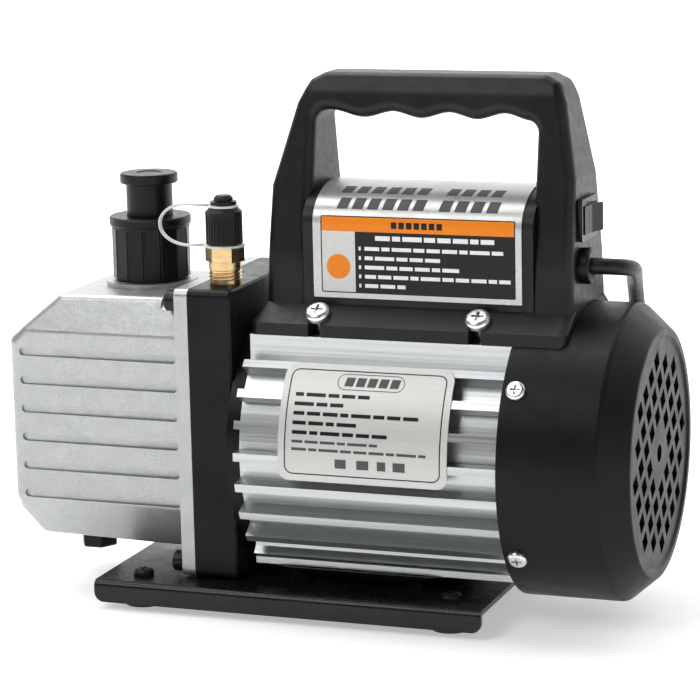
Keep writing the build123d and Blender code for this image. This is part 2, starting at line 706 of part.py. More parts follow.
motor_shaft_x1 = 117.0
with BuildPart() as motor_shaft:
    with BuildSketch(Plane.XZ):
        with BuildLine():
            Polyline((-23.8, axis_z), (-23.8, axis_z + shaft_r), (front_bearing_x[1], axis_z + shaft_r),
                     (front_bearing_x[1], axis_z + shaft_r + 0.9),
                     (rear_bearing_x[0], axis_z + shaft_r + 0.9),
                     (rear_bearing_x[0], axis_z + rear_shaft_r), (motor_shaft_x1 - 1, axis_z + rear_shaft_r),
                     (motor_shaft_x1, axis_z + rear_shaft_r - 1), (motor_shaft_x1, axis_z), close=True)
        make_face()
    revolve(axis=Axis((0, 0, axis_z), (1, 0, 0)))
save(motor_shaft.part, "motor_shaft")

tie_rod_spots = PolarLocations(tie_rod_r_pos, 4, start_angle=45).local_locations
spigot_r = housing_bore_r - 0.1
spigot_in_r = 38.4


def ring_profile(points, hole_plane_x, hole_r, hole_l):
    """A turned ring about the motor's axis, with four tie rod holes."""
    with BuildPart() as ring:
        with BuildSketch(Plane.XZ):
            with BuildLine():
                Polyline(*[(x, axis_z + r) for x, r in points], close=True)
            make_face()
        revolve(axis=Axis((0, 0, axis_z), (1, 0, 0)))
        with BuildSketch(axial_plane(hole_plane_x)):
            with PolarLocations(tie_rod_r_pos, 4, start_angle=45):
                Circle(hole_r)
        extrude(amount=hole_l, mode=Mode.SUBTRACT)
    return ring.part


front_hub_r, rear_hub_r = 22.0, 21.0
with BuildPart() as front_end_bell:
    add(ring_profile([(block_x1 + 0.1, 14.0), (block_x1 + 0.1, housing_r), (housing_x0 - 0.05, housing_r),
                      (housing_x0 - 0.05, spigot_r), (-19.0, spigot_r), (-19.0, spigot_in_r), (-22.5, 37.0),
                      (-22.5, front_hub_r), (front_bearing_x[1], front_hub_r), (front_bearing_x[1], 17.5),
                      (front_bearing_x[0], 17.5), (front_bearing_x[0], 14.0)], block_x1, 2.6, 20.0))
    with BuildSketch(axial_plane(block_x1)):
        Rectangle(120, 2 * housing_flat)
    extrude(amount=40, mode=Mode.INTERSECT)
save(front_end_bell.part, "front_end_bell")

rim_r = fin_tip_r - 0.4
rear_ring = ring_profile([(80.0, spigot_in_r), (80.0, spigot_r), (housing_x1 + 0.05, spigot_r),
                              (housing_x1 + 0.05, rim_r), (96.0, rim_r), (96.0, rim_r - 5.0),
                              (92.0, rim_r - 5.0), (92.0, rear_hub_r), (96.0, rear_hub_r), (96.0, 7.5),
                              (rear_bearing_x[1], 7.5), (rear_bearing_x[1], 16.0),
                              (rear_bearing_x[0], 16.0), (rear_bearing_x[0], rear_hub_r),
                              (housing_x1 + 1.0, rear_hub_r + 2), (housing_x1 + 1.0, 37.0)], 79.0, 2.6, 14.0)
cover_screw_spots = [Rot(Z=angle) * Pos(X=rim_r) for angle in (cover_screw_tilt, 180 - cover_screw_tilt,
                                                              180 + cover_screw_tilt, -cover_screw_tilt)]
with BuildPart() as rear_end_bell:
    add(rear_ring)
    with Locations(*[Location(axial_plane(cover_screw_x)) * spot * Rot(Y=90) for spot in cover_screw_spots]):
        Cylinder(1.7, 9.0, mode=Mode.SUBTRACT)
save(rear_end_bell.part, "rear_end_bell")


def bearing(outer_r, inner_r, x0, x1):
    """A shielded ball bearing: a ring with a recessed shield on both faces."""
    mid_out = outer_r - (outer_r - inner_r) * 0.22
    mid_in = inner_r + (outer_r - inner_r) * 0.22
    with BuildPart() as ring:
        add(tube(outer_r, inner_r, x0, x1))
        add(tube(mid_out, mid_in, x0, x0 + 0.5), mode=Mode.SUBTRACT)
        add(tube(mid_out, mid_in, x1 - 0.5, x1), mode=Mode.SUBTRACT)
    return ring.part


with BuildPart() as front_bearing:
    add(bearing(17.45, shaft_r + 0.03, front_bearing_x[0], front_bearing_x[1] - 0.05))
save(front_bearing.part, "front_bearing")

with BuildPart() as rear_bearing:
    add(bearing(15.95, rear_shaft_r + 0.03, rear_bearing_x[0] + 0.05, rear_bearing_x[1]))
save(rear_bearing.part, "rear_bearing")

slot_count = 24
core_bore_r = rotor_core_r + 0.35
with BuildPart() as stator_core:
    with BuildSketch(axial_plane(core_x0)):
        Circle(housing_bore_r - 0.05)
        Circle(core_bore_r, mode=Mode.SUBTRACT)
        with PolarLocations(32.0, slot_count):
            Rectangle(9.0, 4.2, mode=Mode.SUBTRACT)
        with PolarLocations(26.5, slot_count):
            Rectangle(4.0, 1.8, mode=Mode.SUBTRACT)
        with PolarLocations(tie_rod_r_pos + 1.0, 4, start_angle=45):
            Circle(4.0, mode=Mode.SUBTRACT)
    extrude(amount=core_x1 - core_x0)
save(stator_core.part, "stator_core")

winding_end = 12.0
with BuildPart() as stator_windings:
    add(tube(37.6, 27.6, core_x0 - winding_end, core_x0 - 0.2))
    add(tube(37.6, 27.6, core_x1 + 0.2, core_x1 + winding_end))
    fillet(stator_windings.edges().filter_by(GeomType.CIRCLE), radius=3.0)
    with BuildSketch(axial_plane(core_x0 - 6.0)):
        with PolarLocations(32.0, slot_count):
            Rectangle(8.0, 3.8)
    extrude(amount=core_x1 - core_x0 + 12.0)
save(stator_windings.part, "stator_windings")

with BuildPart() as rotor_core:
    add(tube(rotor_core_r, shaft_r + 0.95, core_x0, core_x1))
    add(tube(rotor_core_r - 1.5, 17.0, core_x0 - 5.0, core_x0))
    add(tube(rotor_core_r - 1.5, 17.0, core_x1, core_x1 + 5.0))
save(rotor_core.part, "rotor_core")

tie_rod_head = 3.6
with BuildPart() as tie_rods:
    with Locations(*[Location(axial_plane(92.0)) * spot for spot in tie_rod_spots]):
        Cylinder(2.4, 92.0 - block_x1 - 1.0, align=hanging)
        Cylinder(4.0, tie_rod_head, align=standing)
    for spot in tie_rod_spots:
        with BuildSketch(Plane(Location(axial_plane(92.0 + tie_rod_head)) * spot)):
            RegularPolygon(2.0, 6)
        extrude(amount=-2.2, mode=Mode.SUBTRACT)
save(tie_rods.part, "tie_rods")

# the handle's flange slopes from the top of its band up to its walls, and its screws stand square on it
flange_run, flange_rise = foot_half_y - wall_half_y, wall_low_z - foot_band_top
handle_screw_lean = math.degrees(math.atan2(flange_rise, flange_run))
handle_screw_z = foot_band_top + (foot_half_y - handle_screw_y) * flange_rise / flange_run
handle_screw_seats = [Location((x, side * handle_screw_y, handle_screw_z), (-side * handle_screw_lean, 0, 0))
                      for x in handle_screw_xs for side in (-1, 1)]

fin_root_r = housing_r - 1.0
platform_half_y = 35.0
with BuildPart() as motor_housing:
    with BuildSketch(axial_plane(housing_x0)):
        Circle(housing_r)
        with Locations((0, housing_flat / 2), (0, -housing_flat / 2)):
            Rectangle(2 * platform_half_y, housing_flat)
        with PolarLocations((fin_root_r + fin_tip_r) / 2, fin_count, start_angle=fin_start,
                            angular_range=fin_pitch * (fin_count - 1), endpoint=True):
            Rectangle(fin_tip_r - fin_root_r, fin_w)
        with PolarLocations((fin_root_r + fin_tip_r) / 2, fin_count,
                            start_angle=180 - fin_start - fin_pitch * (fin_count - 1),
                            angular_range=fin_pitch * (fin_count - 1), endpoint=True):
            Rectangle(fin_tip_r - fin_root_r, fin_w)
        Rectangle(140, 2 * housing_flat, mode=Mode.INTERSECT)
        Circle(housing_bore_r, mode=Mode.SUBTRACT)
    extrude(amount=housing_x1 - housing_x0)
    add(tube(80.0, fin_tip_r + 0.05, cover_x0 - 0.3, housing_x1), mode=Mode.SUBTRACT)
    with Locations(*handle_screw_seats):
        Cylinder(2.6, handle_screw_l + 0.5, align=hanging, mode=Mode.SUBTRACT)
    with Locations(*[(x, y, housing_bottom) for x, y in tray_screw_points]):
        Cylinder(2.6, 2 * 10.0, mode=Mode.SUBTRACT)
    with Locations((12.0, 0, axis_z + housing_flat)):
        Cylinder(6.0, 12.0, mode=Mode.SUBTRACT)
save(motor_housing.part, "motor_housing")

# ---- cooling fan, its clip and the fan cover ----
blade_count = 9
hub_r = 14.0
with BuildPart() as cooling_fan:
    add(tube(hub_r, rear_shaft_r + fit_gap, fan_x0, fan_x1 - 2.0))
    add(tube(fan_r - 1.0, rear_shaft_r + fit_gap, fan_x0, fan_x0 + 1.8))
    with BuildSketch(axial_plane(fan_x0)):
        with PolarLocations((hub_r + fan_r) / 2 - 0.5, blade_count):
            Rectangle(fan_r - hub_r + 1.0, 2.0)
    extrude(amount=fan_x1 - 2.0 - fan_x0)
save(cooling_fan.part, "cooling_fan")

cover_lip_r = 47.0
cover_recess = 1.0
with BuildPart() as fan_cover:
    with BuildSketch(Plane.XZ) as cover_profile:
        with BuildLine():
            Polyline(*[(x, axis_z + r) for x, r in (
                (cover_x0, cover_r - cover_wall), (cover_x0, cover_r), (cover_chamfer_x, cover_r),
                (fan_face_x, cover_face_r), (fan_face_x, cover_lip_r),
                (fan_face_x - cover_recess, cover_lip_r - 1.2), (fan_face_x - cover_recess, 0),
                (fan_face_x - cover_recess - cover_wall, 0),
                (fan_face_x - cover_recess - cover_wall, cover_face_r - 2.2),
                (cover_chamfer_x - 1.0, cover_r - cover_wall))], close=True)
        make_face()
        fillet(cover_profile.vertices().sort_by_distance((cover_chamfer_x, axis_z + cover_r))[0], radius=3.0)
        fillet(cover_profile.vertices().sort_by_distance((fan_face_x, axis_z + cover_face_r))[0], radius=1.2)
    revolve(axis=Axis((0, 0, axis_z), (1, 0, 0)))
    grille_angle = math.radians(45 - cover_turn)
    grille_plane = Plane(origin=(fan_face_x, 0, axis_z), z_dir=(1, 0, 0),
                         x_dir=(0, math.cos(grille_angle), math.sin(grille_angle)))
    steps = [(k + 0.5) * grille_pitch for k in range(-5, 5)]
    grille_points = [(u, v) for u in steps for v in steps if grille_pitch < math.hypot(u, v) < grille_r]
    with BuildSketch(grille_plane):
        with Locations(*grille_points):
            Rectangle(grille_hole, grille_hole)
        Circle(3.6)
    extrude(amount=-5.0, mode=Mode.SUBTRACT)
    with Locations(*[Location(axial_plane(cover_screw_x)) * spot * Rot(Y=90) for spot in cover_screw_spots]):
        Cylinder(2.2, 16.0, mode=Mode.SUBTRACT)
save(fan_cover.part, "fan_cover")

cover_screw = pan_screw(4.0, 2.2, 1.65, 6.0)
seat_shift = Pos(X=cover_r - rim_r + fit_gap)
with BuildPart() as cover_screws:
    with Locations(*[Location(axial_plane(cover_screw_x)) * spot * seat_shift * Rot(Y=90)
                     for spot in cover_screw_spots]):
        add(cover_screw)
save(cover_screws.part, "cover_screws")

# ---- nameplate, curved over the fins ----
plate_x = (-6.0, 64.0)
plate_z = (60.0, 104.5)
plate_t = 0.5
with BuildPart() as name_plate:
    add(tube(fin_tip_r + fit_gap + plate_t, fin_tip_r + fit_gap, plate_x[0], plate_x[1]))
    with BuildSketch(Plane.XZ.offset(20.0)):
        with Locations(((plate_x[0] + plate_x[1]) / 2, (plate_z[0] + plate_z[1]) / 2)):
            RectangleRounded(plate_x[1] - plate_x[0], plate_z[1] - plate_z[0], 4.5)
    extrude(amount=45.0, mode=Mode.INTERSECT)
save(name_plate.part, "name_plate")

# ---- handle ----
switch_y, switch_z = -3.5, 160.0
switch_body_w, switch_body_h = 19.6, 13.4
gland_body_r = 5.6


def mirrored(half):
    """A closed outline from its +Y half, given from the bottom up."""
    return half + [(-y, z) for y, z in reversed(half)]


def dome_prism(x0, x1, inset, low_z):
    """The rounded housing under the window, from x0 to x1, set in and cut off at low_z."""
    half = dome_half_y - inset
    with BuildPart() as prism:
        with BuildSketch(Plane.YZ.offset(x0)):
            with BuildLine():
                EllipticalCenterArc((0, dome_flat_z), half, dome_top_z - inset - dome_flat_z, arc_size=180)
                Polyline((-half, dome_flat_z), (-half, low_z), (half, low_z), (half, dome_flat_z))
            make_face()
        extrude(amount=x1 - x0)
    return prism.part


leg_bend_z = 145.0
with BuildPart() as handle_hollow:
    with BuildSketch(Plane.XZ):
        Polygon((-18.9, handle_foot_z - 1), (-18.9, 170.0), (-14.0, 186.0), (-6.6, 186.0), (-6.6, 153.0),
                (91.1, 153.0), (91.1, 186.0), (99.5, 186.0), (wall_x - 4.0, knee_z),
                (wall_x - handle_wall, wall_low_z), (wall_x - handle_wall, handle_foot_z - 1), align=None)
    extrude(amount=45, both=True)
    with BuildSketch(Plane.YZ.offset(-40)):
        Polygon(*mirrored([(21.5, handle_foot_z - 1), (21.4, leg_bend_z), (14.6, 178.0), (13.8, 190.0)]),
                align=None)
    extrude(amount=160, mode=Mode.INTERSECT)
    add(dome_prism(window_x[0] + handle_wall, window_x[1] - handle_wall, handle_wall, 140.0))

ridge_points = [(window_x[0] - 1.0, crest_z - 1.0)]
for step in range(8):
    ridge_points.append((ridge_x0 + (step - 1) * ridge_pitch / 2, crest_z if step % 2 == 0 else ridge_z))
ridge_points.append((window_x[1] + 1.0, crest_z - 1.0))
window_low_z = wall_low_z - 3.0
screw_slot_l = 9.0

with BuildPart() as handle_shell:
    with BuildSketch(Plane.XZ):
        Polygon((-22.0, handle_foot_z), (-21.5, 171.0), (-12.0, 204.0), (-7.0, 213.0), (-1.0, pump_height),
                (91.0, pump_height), (97.0, 213.0), (99.5, 206.0), (wall_x - 1.4, knee_z),
                (wall_x, handle_foot_z), align=None)
    extrude(amount=45, both=True)
    with BuildSketch(Plane.YZ.offset(-40)) as end_outline:
        Polygon(*mirrored([(26.2, handle_foot_z - 1), (24.4, leg_bend_z), (17.0, 180.0), (12.0, 209.0),
                           (8.0, pump_height + 0.3)]), align=None)
        for bend_z, bend_r in ((leg_bend_z, 60.0), (180.0, 40.0), (209.0, 8.0)):
            fillet(end_outline.vertices().filter_by_position(Axis.Y, bend_z - 1, bend_z + 1), radius=bend_r)
    extrude(amount=160, mode=Mode.INTERSECT)
    fillet(handle_shell.edges().filter_by(lambda edge: edge.center().Z > handle_foot_z + 1 and not (
        edge.length > 80 and abs(edge.center().Y) > 9)), radius=4.0)
    with BuildSketch(Plane.XZ) as window:
        with BuildLine():
            Spline(*ridge_points)
            Polyline(ridge_points[-1], (ridge_points[-1][0], window_low_z),
                     (ridge_points[0][0], window_low_z), ridge_points[0])
        make_face()
        with Locations(((window_x[0] + window_x[1]) / 2, window_low_z)):
            Rectangle(window_x[1] - window_x[0], 200, mode=Mode.INTERSECT)
        fillet(window.vertices().filter_by_position(Axis.Y, 150.0, pump_height), radius=5.0)
    extrude(amount=60, both=True, mode=Mode.SUBTRACT)
    fillet(handle_shell.edges().filter_by(
        lambda edge: window_x[0] - 1 < edge.center().X < window_x[1] + 1
        and 130 < edge.center().Z < 204 and abs(edge.center().Y) > 11), radius=4.0)
    with BuildSketch(Plane.XY.offset(handle_foot_z)):
        with Locations(((handle_foot_x[0] + handle_foot_x[1]) / 2, 0)):
            RectangleRounded(handle_foot_x[1] - handle_foot_x[0], 2 * foot_half_y, 4.0)
    extrude(amount=foot_band_top - handle_foot_z)
    with BuildSketch(Plane.XY.offset(foot_band_top)):
        with Locations(((handle_foot_x[0] + handle_foot_x[1]) / 2, 0)):
            RectangleRounded(handle_foot_x[1] - handle_foot_x[0], 2 * foot_half_y, 4.0)
    with BuildSketch(Plane.XY.offset(wall_low_z)):
        with Locations(((-21.8 + wall_x) / 2, 0)):
            RectangleRounded(wall_x + 21.8, 2 * wall_half_y, 4.0)
    loft()
    add(dome_prism(window_x[0] - 1.5, window_x[1] + 1.5, 0, handle_foot_z + 2.0))
    add(handle_hollow.part, mode=Mode.SUBTRACT)
    add(tube(cover_r + part_gap, 1.0, cover_x0 - 0.4, wall_x + 2), mode=Mode.SUBTRACT)
    with Locations(*handle_screw_seats):
        Cylinder(2.7, 2 * handle_screw_l, mode=Mode.SUBTRACT)
    with Locations(*[(x, side * foot_half_y, handle_foot_z) for x in handle_screw_xs for side in (-1, 1)]):
        Box(5.4, 2 * screw_slot_l, 2 * (wall_low_z - handle_foot_z), mode=Mode.SUBTRACT)
    with Locations((wall_x, switch_y, switch_z)):
        Box(20.0, switch_body_w, switch_body_h, mode=Mode.SUBTRACT)
    with Locations(Location((wall_x, gland_y, gland_z), (0, 90, 0))):
        Cylinder(gland_body_r + 0.05, 20.0, mode=Mode.SUBTRACT)
save(handle_shell.part, "handle_shell")

with BuildPart() as handle_screws:
    with Locations(*handle_screw_seats):
        add(pan_screw(5.3, 3.2, 2.4, handle_screw_l))
save(handle_screws.part, "handle_screws")

panel_x = (-1.0, 85.5)
panel_low_z = 128.0
with BuildPart() as label_panel:
    add(dome_prism(panel_x[0], panel_x[1], -0.6, panel_low_z))
    add(dome_prism(panel_x[0] - 1, panel_x[1] + 1, -fit_gap, panel_low_z - 1), mode=Mode.SUBTRACT)
save(label_panel.part, "label_panel")

capacitor_r = 14.5
with BuildPart() as capacitor:
    with Locations(Location((48.0, 0, handle_foot_z + capacitor_r), (0, 90, 0))):
        Cylinder(capacitor_r, 52.0)
        fillet(capacitor.edges(), radius=1.5)
    for y in (-4.0, 4.0):
        with Locations((76.0, y, handle_foot_z + capacitor_r)):
            Box(6.0, 0.8, 6.0)
save(capacitor.part, "capacitor")

# ---- rocker switch on the handle's end wall ----
bezel_w, bezel_h, bezel_t = 23.0, 16.6, 1.6
bezel_face_x = wall_x - 0.6 + bezel_t
pocket_w, pocket_h, pocket_d = 18.4, 11.4, 9.5
rocker_half, rocker_h = 7.7, 11.1
rocker_pivot_x = bezel_face_x - 3.8
rocker_tilt = -12.0
rocker_pin_r, rocker_pin_l = 1.2, 12.8
with BuildPart() as switch_housing:
    with Locations((bezel_face_x, switch_y, switch_z)):
        Box(bezel_t, bezel_w, bezel_h, align=behind)
        fillet(switch_housing.edges().filter_by(Axis.X), radius=1.5)
        Box(bezel_t + 13.0, switch_body_w - 0.2, switch_body_h - 0.2, align=behind)
        Box(pocket_d, pocket_w, pocket_h, align=behind, mode=Mode.SUBTRACT)
    with Locations((rocker_pivot_x, switch_y, switch_z)):
        Cylinder(rocker_pin_r + fit_gap, rocker_pin_l + 0.2, mode=Mode.SUBTRACT)
save(switch_housing.part, "switch_housing")

rocker_plane = Plane(origin=(rocker_pivot_x, switch_y, switch_z - rocker_h / 2), z_dir=(0, 0, 1)).rotated(
    (0, 0, rocker_tilt))
with BuildPart() as switch_rocker:
    with BuildSketch(rocker_plane):
        with BuildLine():
            Polyline((6.0, -rocker_half), (5.1, 0), (6.0, rocker_half), (0.5, rocker_half), (-2.6, 2.6),
                     (-2.6, -2.6), (0.5, -rocker_half), close=True)
        make_face()
    extrude(amount=rocker_h)
    with Locations((rocker_pivot_x, switch_y, switch_z)):
        Cylinder(rocker_pin_r, rocker_pin_l)
save(switch_rocker.part, "switch_rocker")

# ---- cable gland ----
gland_face_x = wall_x + 3.8
with BuildPart() as cable_gland:
    with Locations(Location((wall_x - 0.4, gland_y, gland_z), (0, 90, 0))):
        Cylinder(7.2, gland_face_x - wall_x + 0.4, align=standing)
        fillet(cable_gland.edges().sort_by(Axis.X)[-1], radius=1.2)
        Cylinder(gland_body_r, 6.0, align=hanging)
        Cylinder(cord_r, 40.0, mode=Mode.SUBTRACT)
save(cable_gland.part, "cable_gland")

# ---- mains cord: over the cover, down behind it, along the floor, a tied coil, and the plug ----
coil_x, coil_y = coil_center
cord_start_x = wall_x + 1.2
coil_start = (coil_x, coil_y - coil_outer_r, cord_r)
coil_end = (coil_x, coil_y - coil_outer_r, cord_r + (coil_layers - 1) * cord_d)
run_points = [
    (cord_start_x, gland_y, gland_z), (118.0, -10.0, 142.0), (123.0, -0.6, 140.2), (120.5, 14.0, 136.6),
    (116.0, 31.0, 130.5), (112.5, 48.5, 117.5), (110.0, 64.0, 99.0), (108.0, 72.5, 76.0),
    (104.0, 77.0, 52.0), (95.0, 80.0, 28.0), (79.0, 81.5, 10.5), (59.0, 80.5, cord_r + 0.4),
    (44.0, 78.8, cord_r), coil_start]
tail_points = [coil_end, (17.0, 78.6, 11.8), (4.0, 79.4, 16.6), (-9.0, 79.8, plug_axis_z)]


def cord_tube(points, name):
    """A round tube of straight runs and tangent arcs through the points. Prints its radii."""
    vectors = [Vector(*point) for point in points]
    runs = [b - a for a, b in zip(vectors, vectors[1:])]
    radii = []
    for before, after in zip(runs, runs[1:]):
        half_turn = math.radians(before.get_angle(after)) / 2
        radii.append(0.45 * min(before.length, after.length) / math.tan(half_turn))
    with BuildPart() as cord:
        with BuildLine() as path:
            FilletPolyline(*points, radius=radii)
        with BuildSketch(Plane(origin=path.line @ 0, z_dir=path.line % 0)):
            Circle(cord_r)
        sweep()
    section = math.pi * cord_r ** 2
    length = sum(edge.length for edge in path.edges())
    print(name, "radii", [round(radius, 1) for radius in radii])
    print(name, "length", round(length, 1), "volume over section x length",
          round(cord.part.volume / (section * length), 4))
    return cord.part, length


run_tube, run_length = cord_tube(run_points, "cord_run")
with BuildPart() as cord_run:
    add(run_tube)
save(cord_run.part, "cord_run")

tail_tube, tail_length = cord_tube(tail_points, "cord_tail")
with BuildPart() as cord_tail:
    add(tail_tube)
save(cord_tail.part, "cord_tail")

coil_top = coil_layers * cord_d
coil_inner_r = coil_outer_r - (coil_columns - 1) * cord_d
with BuildPart() as cord_coil:
    with Locations((coil_x, coil_y, 0)):
        Cylinder(coil_outer_r + cord_r, coil_top, align=standing)
        Cylinder(coil_inner_r - cord_r, 3 * coil_top, mode=Mode.SUBTRACT)
save(cord_coil.part, "cord_coil")
coil_length = coil_turns * math.pi * (coil_outer_r + coil_inner_r)
print("cord length about", round(run_length + tail_length + coil_length))

tie_w, tie_t = 9.0, 0.8
with BuildPart() as coil_hollow:
    with Locations((coil_x, coil_y, tie_t)):
        Cylinder(coil_outer_r + cord_r, coil_top - tie_t, align=standing)
        Cylinder(coil_inner_r - cord_r, 3 * coil_top, mode=Mode.SUBTRACT)

with BuildPart() as cord_tie:
    with Locations((coil_x, coil_y, 0)):
        Cylinder(coil_outer_r + cord_r + tie_t, coil_top + tie_t, align=standing)
        Cylinder(coil_inner_r - cord_r - tie_t, 3 * coil_top, mode=Mode.SUBTRACT)
    with Locations((coil_x, coil_y + (coil_inner_r + coil_outer_r) / 2, 0)):
        Box(tie_w, 40.0, 3 * coil_top, mode=Mode.INTERSECT)
    add(coil_hollow.part, mode=Mode.SUBTRACT)
save(cord_tie.part, "cord_tie")

# ---- mains plug with two round pins ----
x0, plug_y, z0 = tail_points[-1]
relief_l, plug_body_l, plug_r = 22.0, 35.0, 18.4
pin_r, pin_l, pin_pitch = 2.4, 19.0, 19.0
pins_x = x0 - relief_l - plug_body_l
with BuildPart() as plug_body:
    with BuildSketch(Plane.XZ.offset(-plug_y)):
        with BuildLine():
            Polyline((x0, z0), (x0, z0 + cord_r + 0.9), (x0 - relief_l, z0 + 6.5),
                     (x0 - relief_l - 5, z0 + 13.0),
                     (x0 - relief_l - 16, z0 + 15.0), (x0 - relief_l - 22, z0 + plug_r),
                     (pins_x, z0 + plug_r), (pins_x, z0), close=True)
        make_face()
    revolve(axis=Axis((x0, plug_y, z0), (1, 0, 0)))
save(plug_body.part, "plug_body")

with BuildPart() as plug_pins:
    with Locations(*[Location((pins_x, plug_y + y, z0), (0, -90, 0))
                     for y in (-pin_pitch / 2, pin_pitch / 2)]):
        Cylinder(pin_r, pin_l, align=standing)
    fillet(plug_pins.edges().group_by(Axis.X)[0], radius=1.4)
save(plug_pins.part, "plug_pins")

print(len(parts_made), "pieces")
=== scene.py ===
"""Looks of a rotary-vane vacuum pump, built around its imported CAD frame. All lengths are in metres."""
import bpy
import math
from mathutils import Matrix, Vector


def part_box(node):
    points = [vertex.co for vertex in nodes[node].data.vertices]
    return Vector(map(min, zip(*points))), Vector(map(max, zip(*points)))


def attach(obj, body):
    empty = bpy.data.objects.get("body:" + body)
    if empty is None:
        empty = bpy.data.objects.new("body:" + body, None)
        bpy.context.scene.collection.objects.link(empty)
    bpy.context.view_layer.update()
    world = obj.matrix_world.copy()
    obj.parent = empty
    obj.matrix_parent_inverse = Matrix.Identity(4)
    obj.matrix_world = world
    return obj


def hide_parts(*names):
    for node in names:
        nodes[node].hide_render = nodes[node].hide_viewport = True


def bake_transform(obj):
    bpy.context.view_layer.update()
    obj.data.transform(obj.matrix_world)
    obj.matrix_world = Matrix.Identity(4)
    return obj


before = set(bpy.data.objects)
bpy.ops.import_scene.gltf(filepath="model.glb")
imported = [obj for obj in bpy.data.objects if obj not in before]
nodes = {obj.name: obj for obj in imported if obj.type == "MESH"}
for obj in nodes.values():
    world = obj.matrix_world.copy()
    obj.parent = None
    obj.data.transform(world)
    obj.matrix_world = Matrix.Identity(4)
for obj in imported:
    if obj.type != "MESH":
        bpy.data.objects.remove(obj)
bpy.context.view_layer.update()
MM = 0.001


# ---- small tools ----
def place(node):
    """The lowest corner, the highest corner and the middle of a CAD node, in millimetres."""
    low, high = (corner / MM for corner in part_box(node))
    return low, high, (low + high) / 2


def add_object(name, data):
    """A new object in the scene for this data."""
    obj = bpy.data.objects.new(name, data)
    bpy.context.scene.collection.objects.link(obj)
    return obj


def mesh_piece(name, vertices, faces, body, slot, material, smooth=True):
    """A mesh piece with one material, that rides on a body unless that is None."""
    mesh = bpy.data.meshes.new(name)
    mesh.from_pydata([tuple(v) for v in vertices], [], faces)
    mesh.materials.append(material)
    mesh.polygons.foreach_set("use_smooth", [smooth] * len(mesh.polygons))
    obj = add_object(name, mesh)
    if body:
        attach(obj, body)
    return obj


def loft_rings(rings, closed=True):
    """Vertices and quads for rings of equal length, one after the other, with capped ends if closed."""
    size = len(rings[0])
    vertices = [point for ring in rings for point in ring]
    faces = []
    for k in range(len(rings) - 1):
        for i in range(size):
            j = (i + 1) % size
            faces.append((k * size + i, k * size + j, (k + 1) * size + j, (k + 1) * size + i))
    if closed:
        faces.append(tuple(reversed(range(size))))
        faces.append(tuple((len(rings) - 1) * size + i for i in range(size)))
    return vertices, faces


def merged(parts):
    """The vertices and faces of several shapes as those of one."""
    vertices, faces = [], []
    for part_vertices, part_faces in parts:
        faces += [tuple(i + len(vertices) for i in face) for face in part_faces]
        vertices += part_vertices
    return vertices, faces


def turned(profile, center, axis="Z", steps=64):
    """Rings of a turned shape: profile is (radius, height) pairs about a point."""
    rings = []
    for radius, height in profile:
        ring = []
        for i in range(steps):
            a = 2 * math.pi * i / steps
            u, v = radius * math.cos(a), radius * math.sin(a)
            ring.append(Vector(center) + (Vector((u, v, height)) if axis == "Z" else Vector((height, u, v))))
        rings.append(ring)
    return rings


# ---- materials ----
class Shader:
    """A node material with a Principled shader and object coordinates in metres."""

    def __init__(self, name, color, roughness, metallic=0.0, **sockets):
        self.material = bpy.data.materials.new(name)
        self.material.use_nodes = True
        self.tree = self.material.node_tree
        self.bsdf = self.tree.nodes["Principled BSDF"]
        self.bsdf.inputs["Base Color"].default_value = (*color, 1)
        self.bsdf.inputs["Roughness"].default_value = roughness
        self.bsdf.inputs["Metallic"].default_value = metallic
        for socket, value in sockets.items():
            self.bsdf.inputs[socket.replace("_", " ")].default_value = value
        self.coords = self.node("ShaderNodeTexCoord").outputs["Object"]

    def node(self, kind, **values):
        node = self.tree.nodes.new(kind)
        for key, value in values.items():
            setattr(node, key, value)
        return node

    def link(self, source, target):
        self.tree.links.new(source, target)

    def noise(self, size, detail=4.0, stretch=(1, 1, 1), roughness=0.55):
        """Noise whose features are about size metres across, longer by stretch along each axis."""
        mapping = self.node("ShaderNodeMapping")
        mapping.inputs["Scale"].default_value = [1 / (size * s) for s in stretch]
        self.link(self.coords, mapping.inputs["Vector"])
        noise = self.node("ShaderNodeTexNoise")
        noise.inputs["Scale"].default_value = 1.0
        noise.inputs["Detail"].default_value = detail
        noise.inputs["Roughness"].default_value = roughness
        self.link(mapping.outputs["Vector"], noise.inputs["Vector"])
        return noise.outputs["Fac"]

    def spread(self, value, low, high, start=0.3, end=0.7):
        """A value from 0 to 1 mapped to run from low to high."""
        ramp = self.node("ShaderNodeMapRange")
        ramp.inputs["From Min"].default_value = start
        ramp.inputs["From Max"].default_value = end
        ramp.inputs["To Min"].default_value = low
        ramp.inputs["To Max"].default_value = high
        self.link(value, ramp.inputs["Value"])
        return ramp.outputs["Result"]

    def color_between(self, value, first, second, start=0.3, end=0.7):
        mix = self.node("ShaderNodeMix", data_type="RGBA")
        self.link(self.spread(value, 0.0, 1.0, start, end), mix.inputs["Factor"])
        mix.inputs["A"].default_value = (*first, 1)
        mix.inputs["B"].default_value = (*second, 1)
        self.link(mix.outputs["Result"], self.bsdf.inputs["Base Color"])
        return mix

    def vary_roughness(self, value, low, high, start=0.3, end=0.7):
        self.link(self.spread(value, low, high, start, end), self.bsdf.inputs["Roughness"])

    def bump(self, *heights):
        """Bumps from (value, depth in metres) pairs, added up."""
        normal = None
        for value, depth in heights:
            bump = self.node("ShaderNodeBump")
            bump.inputs["Strength"].default_value = 1.0
            bump.inputs["Distance"].default_value = depth
            self.link(value, bump.inputs["Height"])
            if normal:
                self.link(normal, bump.inputs["Normal"])
            normal = bump.outputs["Normal"]
        self.link(normal, self.bsdf.inputs["Normal"])


